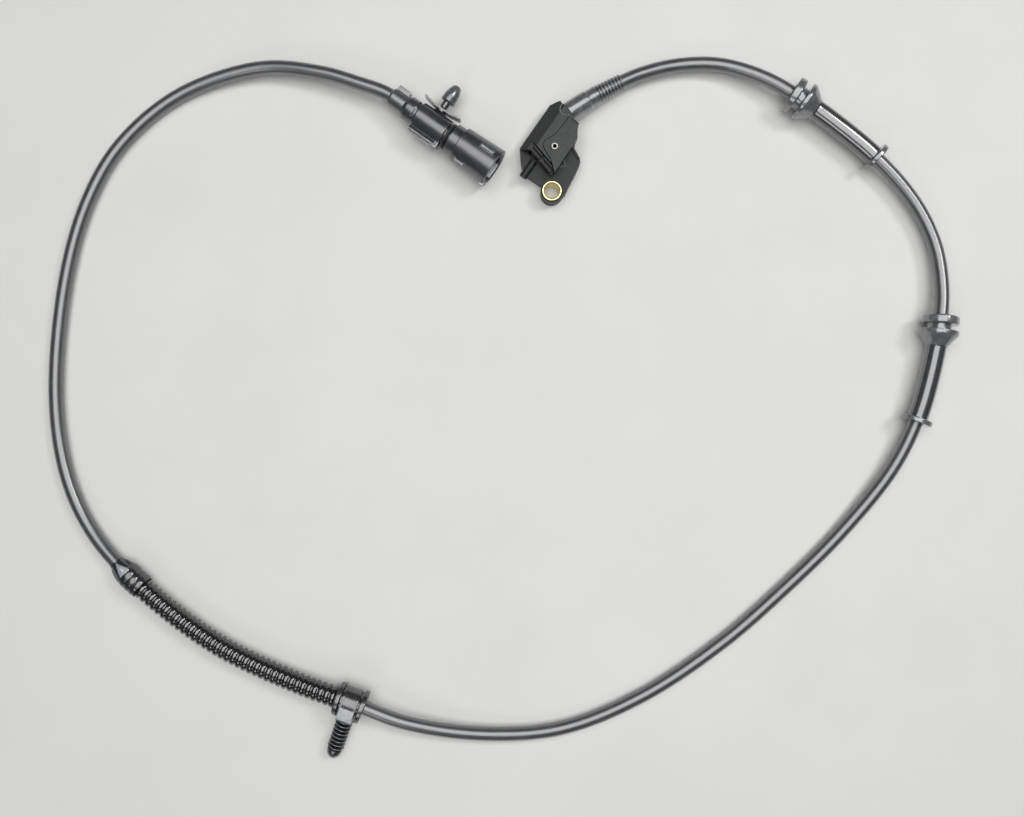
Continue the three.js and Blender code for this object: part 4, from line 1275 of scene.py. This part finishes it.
@dataclass
class Connector:
    """The round two-way connector, measured along its axis from the cable end."""

    x: float = -20.4
    back_y: float = 71.0
    axis_height: float = 8.8
    bore: float = 6.6
    boot_diameter: float = 8.4
    boot_length: float = 7.4
    collar_diameter: float = 10.6
    collar_length: float = 6.0
    gap: float = 0.3
    body_diameter: float = 12.0
    body_length: float = 14.3
    groove_diameter: float = 8.6
    groove_length: float = 2.9
    seal_section: float = 1.3
    shoulder_diameter: float = 13.6
    shoulder_length: float = 4.3
    root_diameter: float = 15.6
    mouth_diameter: float = 17.0
    shroud_length: float = 17.9
    socket_diameter: float = 13.8
    socket_depth: float = 16.6
    rear_cavity: float = 8.2
    rear_cavity_depth: float = 11.5
    rails: tuple[Bar, ...] = (Bar(2.0, 1.9, 13.2, 160), Bar(2.0, 1.9, 13.2, 190))
    rail_stop: Bar = Bar(1.9, 4.6, 2.8, 175)
    latch: Bar = Bar(0.45, 2.3, 6.5, 68)
    # A strip on the latch rib that carries a painted highlight
    latch_painted_highlight: Bar = Bar(0.55, 1.1, 5.9, 68)
    latch_back: float = 9.0
    guide: Bar = Bar(0.9, 1.4, 4.4, 150)
    # A strip on the guide that carries a painted highlight
    guide_painted_highlight: Bar = Bar(1.0, 0.5, 4.0, 149)
    guide_start: float = 2.4
    mouth_lugs: tuple[Bar, ...] = (Bar(0.9, 1.3, 1.6, 172), Bar(0.9, 1.3, 1.6, 196))
    key: tuple[float, float] = (1.6, 1.4)
    key_back: float = 1.9
    key_front: float = 1.0
    bar_root: float = 1.2
    # Length of the painted reflection on the socket's wall near the mouth
    painted_reflection_length: float = 4.0
    clip_station: float = 20.9
    clip_reach: float = 19.6
    wing_span: float = 18.0
    wing_width: float = 5.6
    wing_thickness: float = 0.75
    wing_rise: float = 1.0
    wing_flat: float = 2.6
    wing_seat: float = 0.8
    clip_head: float = 6.4
    clip_head_length: float = 8.3
    clip_neck: float = 3.5
    clip_foot: float = 2.8
    # Share of the painted highlight on the stud's head
    stud_painted_highlight: float = 0.25

    @property
    def body_start(self) -> float:
        """Where the body starts."""
        return self.boot_length + self.collar_length + 2 * self.gap

    @property
    def groove_start(self) -> float:
        """Where the groove for the seal ring starts."""
        return self.body_start + self.body_length

    @property
    def shroud_start(self) -> float:
        """Where the shroud starts."""
        return self.groove_start + self.groove_length + self.shoulder_length

    @property
    def mouth(self) -> float:
        """Where the shroud's mouth is."""
        return self.shroud_start + self.shroud_length

    def placed(self, shape: Shape) -> Shape:
        """Sets a shape on the connector's axis.

        Args:
            shape: The shape, made along Z from the cable end, which is changed.

        Returns:
            The same shape.
        """
        basis = Matrix(((1, 0, 0), (0, 0, 1), (0, -1, 0))).transposed().to_4x4()
        basis.translation = Vector((self.x, self.back_y, self.axis_height)) * MM
        return moved(shape, basis)

    def bar(self, form: Bar, radius: float, start: float) -> Shape:
        """Makes a raised bar, which also reaches a little into the round surface.

        Args:
            form: The bar's sizes.
            radius: The surface's radius.
            start: Where the bar starts along the axis.

        Returns:
            The bar, with softened edges.
        """
        depth = form.rise + self.bar_root
        centre = (radius + form.rise - depth / 2, 0, start + form.length / 2)
        size = (depth, form.width, form.length)
        return softened(block(size, centre, form.turn), min(0.25, form.rise / 3))

    def rear_boot(self) -> Piece:
        """Makes the rear boot with its rib.

        Returns:
            The boot.
        """
        radius = self.boot_diameter / 2
        corners: list[Corner] = [
            (self.bore / 2 + 0.25, 0, 0),
            (radius - 0.5, 0, 0.3),
            (radius, 0.7, 0.5),
            (radius, self.boot_length, 0.2),
            (self.bore / 2 + 0.3, self.boot_length, 0),
        ]
        rib_size = (2.2, 4, self.boot_length - 1.6)
        rib = softened(block(rib_size, (radius + 0.5, 0, self.boot_length / 2)), 0.3)
        shape = self.placed(gathered([turned(ring(rounded(corners), self.bore / 2)), rib]))
        return piece_of("rear_boot", shape, JACKET, "connector_rear_boot", Slot.GLOSS, flats=True)

    def rear_collar(self) -> Piece:
        """Makes the collar between the rear boot and the body.

        Returns:
            The collar.
        """
        start = self.boot_length + self.gap
        stop = start + self.collar_length
        radius = self.collar_diameter / 2
        corners: list[Corner] = [
            (self.bore / 2 + 0.3, start, 0),
            (radius - 0.7, start, 0.3),
            (radius, start + 0.8, 0.6),
            (radius, stop - 1.4, 0.5),
            (radius - 0.35, stop - 0.9, 0.3),
            (radius - 0.35, stop, 0.15),
            (self.bore / 2 + 0.3, stop, 0),
        ]
        shape = self.placed(turned(ring(rounded(corners), self.bore / 2), 56))
        return piece_of("rear_collar", shape, CONNECTOR_PBT, "connector_collar", Slot.CONNECTOR)

    def shell(self) -> Shape:
        """Makes the body's turned shell with its rear cavity, web and open socket.

        Returns:
            The shell, round the Z axis.
        """
        start, mouth = self.body_start, self.mouth
        floor = mouth - self.socket_depth
        body, groove = self.body_diameter / 2, self.groove_diameter / 2
        shoulder, root = self.shoulder_diameter / 2, self.root_diameter / 2
        rim, socket = self.mouth_diameter / 2, self.socket_diameter / 2
        rear = self.rear_cavity / 2
        corners: list[Corner] = [
            (0, start + self.rear_cavity_depth, 0),
            (rear, start + self.rear_cavity_depth, 0),
            (rear, start, 0.2),
            (body, start, 0.4),
            (body, self.groove_start, 0.3),
            (groove, self.groove_start, 0.15),
            (groove, self.groove_start + self.groove_length, 0.15),
            (shoulder, self.groove_start + self.groove_length, 0.4),
            (shoulder, self.shroud_start, 0.15),
            (root, self.shroud_start, 0.4),
            (rim, mouth, 0.35),
            (socket + 0.5, mouth, 0.3),
            (socket, mouth - 0.8, 0.3),
            (socket, mouth - self.painted_reflection_length, 0),
            (socket, floor, 0.15),
            (0, floor, 0),
        ]
        return turned(rounded(corners), 72)

    def is_mouth_painted_reflection(self, middle: Vector) -> bool:
        """Tells whether a face is on the painted reflection, a pale streak low on the socket's wall near
        its mouth.

        Args:
            middle: The face's middle in metres.

        Returns:
            Whether it is.
        """
        on_wall = abs(middle.xy.length / MM - self.socket_diameter / 2) < 0.2
        low = middle.y < 0 and abs(middle.x) < 0.5 * middle.xy.length
        return on_wall and low and middle.z / MM > self.mouth - self.painted_reflection_length

    def body(self) -> Piece:
        """Makes the body with its rails, latch rib, guide and lugs, and the key in its socket.

        Returns:
            The body.
        """
        radius, root, rim = self.body_diameter / 2, self.root_diameter / 2, self.mouth_diameter / 2
        latch_start, guide_start = self.mouth - self.latch_back, self.shroud_start + self.guide_start
        latch_inset = (self.latch.length - self.latch_painted_highlight.length) / 2
        guide_inset = (self.guide.length - self.guide_painted_highlight.length) / 2
        bars = [
            *(self.bar(rail, radius, self.body_start) for rail in self.rails),
            self.bar(self.rail_stop, radius, self.groove_start - self.rail_stop.length),
            self.bar(self.latch, rim, latch_start),
            # The latch and guide strips are painted highlights
            with_painted_light(self.bar(self.latch_painted_highlight, rim, latch_start + latch_inset), 1.0),
            self.bar(self.guide, root, guide_start),
            with_painted_light(self.bar(self.guide_painted_highlight, root, guide_start + guide_inset), 1.0),
            *(self.bar(lug, rim, self.mouth - lug.length) for lug in self.mouth_lugs),
        ]
        key_start = self.mouth - self.socket_depth + self.key_back
        key_length = self.mouth - self.key_front - key_start
        key_centre = (self.socket_diameter / 2 - 0.2, 0, key_start + key_length / 2)
        key = softened(block((*self.key, key_length), key_centre), 0.2)
        # The socket's wall takes a painted reflection near the mouth
        whole = with_painted_light(gathered([self.shell(), *bars, key]), 1.0, self.is_mouth_painted_reflection)
        return piece_of(
            "connector_shell",
            self.placed(whole),
            CONNECTOR_PBT,
            "connector_body",
            Slot.CONNECTOR,
            flats=True,
        )

    def seal(self) -> Piece:
        """Makes the rubber ring in the groove.

        Returns:
            The ring.
        """
        section = self.seal_section / 2
        centre = self.groove_diameter / 2 + self.gap + section
        along = self.groove_start + self.groove_length / 2
        profile = [
            (centre + section * math.cos(a), along + section * math.sin(a))
            for a in [math.tau * k / 16 for k in range(16)]
        ]
        shape = self.placed(turned([*profile, profile[0]], 56))
        return piece_of("seal_ring", shape, SEAL_SILICONE, "connector_seal_ring", Slot.SEAL)

    def wings(self) -> Shape:
        """Makes the thin curved leaf that presses on the panel beside the stud.

        Returns:
            The leaf, across the stud.
        """
        leaf = self.body_diameter / 2 + self.gap + self.wing_seat
        half = self.wing_span / 2
        steps = 24
        lower: Profile = []
        for i in range(steps + 1):
            along = half * (2 * i / steps - 1)
            bend = max(abs(along) - self.wing_flat, 0.0) / (half - self.wing_flat)
            lower.append((leaf + self.wing_rise * bend**1.4, along))
        upper = [(x + self.wing_thickness, along) for x, along in reversed(lower)]
        shape = softened(prism([*lower, *upper], -self.wing_width / 2, self.wing_width), 0.15, 50.0)
        return moved(shape, Matrix.Rotation(math.pi / 2, 4, "X"))

    def clip(self) -> Piece:
        """Makes the fixing clip: a foot, a thin leaf and a bullet-headed stud.

        Returns:
            The clip, as one moulding.
        """
        foot = self.body_diameter / 2 + self.gap
        neck, head = self.clip_neck / 2, self.clip_head / 2
        tip, length = self.clip_reach, self.clip_head_length
        corners: list[Corner] = [
            (0, foot, 0),
            (self.clip_foot, foot, 0.2),
            (self.clip_foot, foot + 1.3, 0.3),
            (neck + 0.6, foot + 1.6, 0.3),
            (neck, foot + 2.2, 0.3),
            (neck, tip - length, 0.3),
            (head, tip - length + 0.4, 0.35),
            (head, tip - 0.62 * length, 1.5),
            (head * 0.84, tip - 0.28 * length, 1.6),
            (head * 0.5, tip, 1.1),
            (0, tip, 0),
        ]
        stud = turned(rounded(corners), 48)
        # The stud's head takes a painted highlight
        with_painted_light(stud, self.stud_painted_highlight, lambda middle: middle.z > (tip - length) * MM)
        moved(stud, Matrix.Rotation(math.pi / 2, 4, "Y"))
        shape = moved(gathered([stud, self.wings()]), Matrix.Translation((0, 0, self.clip_station * MM)))
        shape = self.placed(shape)
        return piece_of(
            "connector_stud_clip", shape, CLIP_NYLON, "connector_clip", Slot.CLIP, flats=True
        )

    def build(self) -> list[Piece]:
        """Makes every outer piece of the connector."""
        return [self.rear_boot(), self.rear_collar(), self.body(), self.seal(), self.clip()]


@dataclass
class SensorHead:
    """The head: housing, cover, eyelet and the bush in its lug.

    Attributes:
        edge: The round on the mouldings' edges.
        top: The height of the housing's flat top, which takes painted light, paler than the lower faces.
        lug_top: The height of the lug.
        trim_root: How far the added trims reach down into the moulding.
        rim_place: The place of the rim where the boot enters, and its radius.
        rim_lean: The direction in radians to which the rim is open.
        gusset: The plan of the low gusset on the lug.
    """

    edge: float = 0.28
    top: float = 13.8
    # Share of the painted light on the flat tops
    top_painted_light: float = 0.11
    lug_top: float = 7.4
    trim_root: float = 0.8
    rim_place: Point = (16.3, 6.3, 2.9)
    rim_width: float = 0.5
    rim_rise: float = 0.4
    rim_lean: float = -0.34
    # Share of the painted highlight on the rim
    rim_painted_highlight: float = 0.55
    gusset: tuple[tuple[float, float], ...] = ((-4.6, -4.0), (-2.2, -7.0), (0.6, -4.0))
    gusset_rise: float = 0.7
    eyelet: tuple[float, float] = (0.6, 1.3)
    eyelet_head: float = 3.2
    eyelet_bore: float = 1.3
    eyelet_base: float = 14.7
    eyelet_rise: float = 0.5
    eyelet_foot: float = 9.7
    eyelet_shank: float = 2.3
    bush: tuple[float, float] = (-13.9, -7.8)
    bush_diameter: float = 8.4
    bush_bore: float = 6.3
    bush_length: float = 8.2
    bush_chamfer: float = 0.45

    def mouth_rim(self) -> Shape:
        """Makes the horseshoe rim on the top round the place where the boot enters.

        Returns:
            The rim.
        """
        x, y, radius = self.rim_place
        steps = 8
        inner = radius - self.rim_width
        turns = [math.pi / 2 + self.rim_lean + math.pi * k / steps for k in range(steps + 1)]
        outline = [(x + radius * math.cos(turn), y + radius * math.sin(turn)) for turn in turns]
        outline += [(x + inner * math.cos(turn), y + inner * math.sin(turn)) for turn in reversed(turns)]
        return softened(prism(outline, self.top - self.trim_root, self.trim_root + self.rim_rise), 0.08)

    def mouldings(self) -> list[Piece]:
        """Makes the housing and the cover from the CAD's shapes.

        Returns:
            Both, with softened edges and tops painted paler as painted light.
        """
        made = []
        for node in ("sensor_housing", "housing_cover"):
            # Faces at the flat top's height are painted paler: painted light
            pale_wear_and_highlight = with_painted_light(copied(node), self.top_painted_light, lambda middle: middle.z > (self.top - 0.15) * MM)
            shape = softened(pale_wear_and_highlight, self.edge)
            if node == "sensor_housing":
                height = self.trim_root + self.gusset_rise
                gusset = softened(prism(self.gusset, self.lug_top - self.trim_root, height), 0.2)
                # The rim round the boot takes a painted highlight
                shape = gathered([shape, with_painted_light(self.mouth_rim(), self.rim_painted_highlight), gusset])
            made.append(piece_of(f"{node}_shell", shape, HEAD_NYLON, node, Slot.HEAD, 50.0, flats=True))
        return made

    def eyelet_piece(self) -> Piece:
        """Makes the small rolled eyelet in the cover.

        Returns:
            The eyelet.
        """
        head, bore, shank = self.eyelet_head / 2, self.eyelet_bore / 2, self.eyelet_shank / 2
        crown = self.eyelet_base + self.eyelet_rise
        corners: list[Corner] = [
            (bore, self.eyelet_foot, 0),
            (shank, self.eyelet_foot, 0),
            (shank, self.eyelet_base, 0.1),
            (head, self.eyelet_base, 0.15),
            (head - 0.1, crown, 0.35),
            (bore, crown, 0.4),
            (bore, self.eyelet_foot, 0),
        ]
        place = Matrix.Translation(Vector((*self.eyelet, 0)) * MM)
        shape = moved(turned(rounded(corners), 40), place)
        return piece_of("eyelet_ring", shape, TIN_PLATE, "cover_eyelet", Slot.EYELET)

    def bush_piece(self) -> Piece:
        """Makes the turned brass bush with chamfered ends.

        Returns:
            The bush.
        """
        outer, bore = self.bush_diameter / 2, self.bush_bore / 2
        top, chamfer = self.bush_length, self.bush_chamfer
        corners: list[Corner] = [
            (bore, chamfer, 0),
            (bore + chamfer, 0, 0.08),
            (outer, 0, 0.12),
            (outer, top, 0.25),
            (bore + chamfer, top, 0.1),
            (bore, top - chamfer, 0.1),
            (bore, chamfer, 0),
        ]
        place = Matrix.Translation(Vector((*self.bush, 0)) * MM)
        shape = moved(turned(rounded(corners), 64), place)
        # Free-cutting brass, turned: pale gold with rings from the tool
        brass = TurnedFinish(
            "turned_brass", "#eadfb6", "#d6c78f", "#f5f0da", (0.2, 0.36), 1.2, 0.3, 0.005,
            metallic=1.0, centre=(*self.bush, 0.0),
        )
        return piece_of("bush_turned", shape, brass, "bolt_bushing", Slot.BRASS)

    def build(self) -> list[Piece]:
        """Makes every outer piece of the head."""
        return [*self.mouldings(), self.eyelet_piece(), self.bush_piece()]


# The finish of each CAD node inside the head, and of each inside the connector, where the cable ends
HEAD_INSIDE: dict[str, MouldedFinish] = {
    "element_holder": CARRIER,
    "bias_magnet": FERRITE,
    "sensor_element": CARRIER,
    "lead_a": TIN_PLATE,
    "lead_b": TIN_PLATE,
    "head_core_a": CORE_BLACK,
    "head_core_b": CORE_WHITE,
}
CONNECTOR_INSIDE: dict[str, MouldedFinish] = {
    "terminal_pin_a": TIN_PLATE,
    "terminal_pin_b": TIN_PLATE,
    "wire_seal_a": SEAL_SILICONE,
    "wire_seal_b": SEAL_SILICONE,
    "connector_core_a": CORE_BLACK,
    "connector_core_b": CORE_WHITE,
    "pin_retainer": CONNECTOR_PBT,
}


@dataclass(frozen=True)
class Lamp:
    """A square soft lamp, with its distance and side in metres.

    Attributes:
        toward: The direction to it in the picture: to the right, up, and back to the camera.
    """

    name: str
    toward: Point
    distance: float
    size: float
    watts: float


@dataclass
class Studio:
    """The pale floor, the soft lamps and the camera of the photograph.

    Attributes:
        camera_place: The camera's place in millimetres.
        picture_right: The direction in the scene that is right in the picture.
        lens: The focal length for a picture 36 mm wide.
        floor_size: The floor's side in metres.
        surround: The strength of the even grey surround.
    """

    camera_place: Point = (-99.7, -47.1, 400.0)
    picture_right: tuple[float, float] = (0.5736, -0.8192)
    lens: float = 32.34
    floor_colour: str = "#d9d9d6"
    floor_size: float = 6.0
    surround: float = 0.09
    lamps: tuple[Lamp, ...] = (
        Lamp("key", (0.7, 0.4, 0.95), 1.3, 0.3, 4.0),
        Lamp("overhead", (0.0, 0.08, 1.0), 1.0, 1.0, 9.4),
        Lamp("glint", (-0.46, -0.98, 0.9), 1.4, 0.42, 1.7),
    )

    def direction(self, right: float, up: float, back: float) -> Vector:
        """Turns a direction in the picture to one in the scene.

        Args:
            right: Its share to the right.
            up: Its share upwards in the picture.
            back: Its share towards the camera.

        Returns:
            The direction, of any length.
        """
        across = Vector((*self.picture_right, 0.0))
        upward = Vector((0, 0, 1)).cross(across)
        return across * right + upward * up + Vector((0, 0, back))

    def camera(self) -> None:
        """Sets the camera straight above the part, turned as the photograph is."""
        view = bpy.data.cameras.new("camera")
        view.lens = self.lens
        view.sensor_width = 36.0
        view.clip_start = 0.01
        made = bpy.data.objects.new("camera", view)
        across, upward = self.direction(1, 0, 0), self.direction(0, 1, 0)
        matrix = Matrix((across, upward, Vector((0, 0, 1)))).transposed().to_4x4()
        matrix.translation = Vector(self.camera_place) * MM
        made.matrix_world = matrix
        bpy.context.scene.collection.objects.link(made)
        bpy.context.scene.camera = made

    def hang(self, lamp: Lamp) -> None:
        """Adds a lamp, which faces the middle of the picture.

        Args:
            lamp: The lamp.
        """
        light = bpy.data.lights.new(lamp.name, "AREA")
        light.size = lamp.size
        light.energy = lamp.watts
        made = bpy.data.objects.new(lamp.name, light)
        toward = self.direction(*lamp.toward)
        middle = Vector((self.camera_place[0], self.camera_place[1], 0)) * MM
        made.location = middle + toward.normalized() * lamp.distance
        made.rotation_euler = toward.to_track_quat("Z", "Y").to_euler()
        bpy.context.scene.collection.objects.link(made)

    def floor(self) -> None:
        """Makes the plain floor, a matte card with a slight tooth."""
        shape = bmesh.new()
        bmesh.ops.create_grid(shape, x_segments=1, y_segments=1, size=self.floor_size / 2)
        mesh = bpy.data.meshes.new("floor")
        shape.to_mesh(mesh)
        shape.free()
        card = MouldedFinish(
            "matte_card", self.floor_colour, "#dddddb", self.floor_colour, (0.85, 0.95), 60, 1.0, 0.01
        )
        mesh.materials.append(material_of(card))
        made = bpy.data.objects.new("floor", mesh)
        bpy.context.scene.collection.objects.link(made)

    def world(self) -> None:
        """Gives an even, dim grey surround for soft fill and reflections."""
        world = bpy.data.worlds.new("studio")
        world.use_nodes = True
        back = world.node_tree.nodes["Background"]
        back.inputs["Color"].default_value = linear("#f2f4f7")
        back.inputs["Strength"].default_value = self.surround
        bpy.context.scene.world = world

    def build(self) -> None:
        """Sets up the floor, the surround and the lamps."""
        self.floor()
        self.world()
        for lamp in self.lamps:
            self.hang(lamp)
        bpy.context.scene.view_settings.view_transform = "Standard"


def register(piece: Piece) -> None:
    """Rides a piece on the body, hides the nodes that it stands for and names its slot.

    Args:
        piece: The piece.
    """
    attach(piece.shape, BODY)
    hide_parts(*piece.nodes)
    log.info("%s stands for %s, in %s", piece.shape.name, ", ".join(piece.nodes), piece.slot.value)


def dress(nodes: dict[str, bpy.types.Object]) -> None:
    """Gives each CAD node that stays its own finish.

    Args:
        nodes: The CAD's objects by name.
    """
    for name, finish in {**HEAD_INSIDE, **CONNECTOR_INSIDE}.items():
        mesh = nodes[name].data
        mesh.materials.clear()
        mesh.materials.append(material_of(finish))
        log.info("%s is dressed in %s", name, finish.name)


def main() -> None:
    """Builds the camera and the cable first, then each sub-assembly, and the studio last."""
    logging.basicConfig(level=logging.INFO, format="%(name)s: %(message)s")
    studio = Studio()
    studio.camera()
    cable = Cable()
    (jacket,) = cable.build()
    register(jacket)
    carried: list[Piece] = []
    for assembly in (
        StrainRelief(),
        Grommet("grommet_upper", 107.5),
        Grommet("grommet_lower", 230.2),
        Conduit(),
        StrapClip(),
        Connector(),
    ):
        carried += assembly.build()
    for piece in (*carried, *SensorHead().build()):
        register(piece)
    dress(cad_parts)
    tuple(route.station(0.0).centre)
    studio.build()


if __name__ == "__main__":
    main()
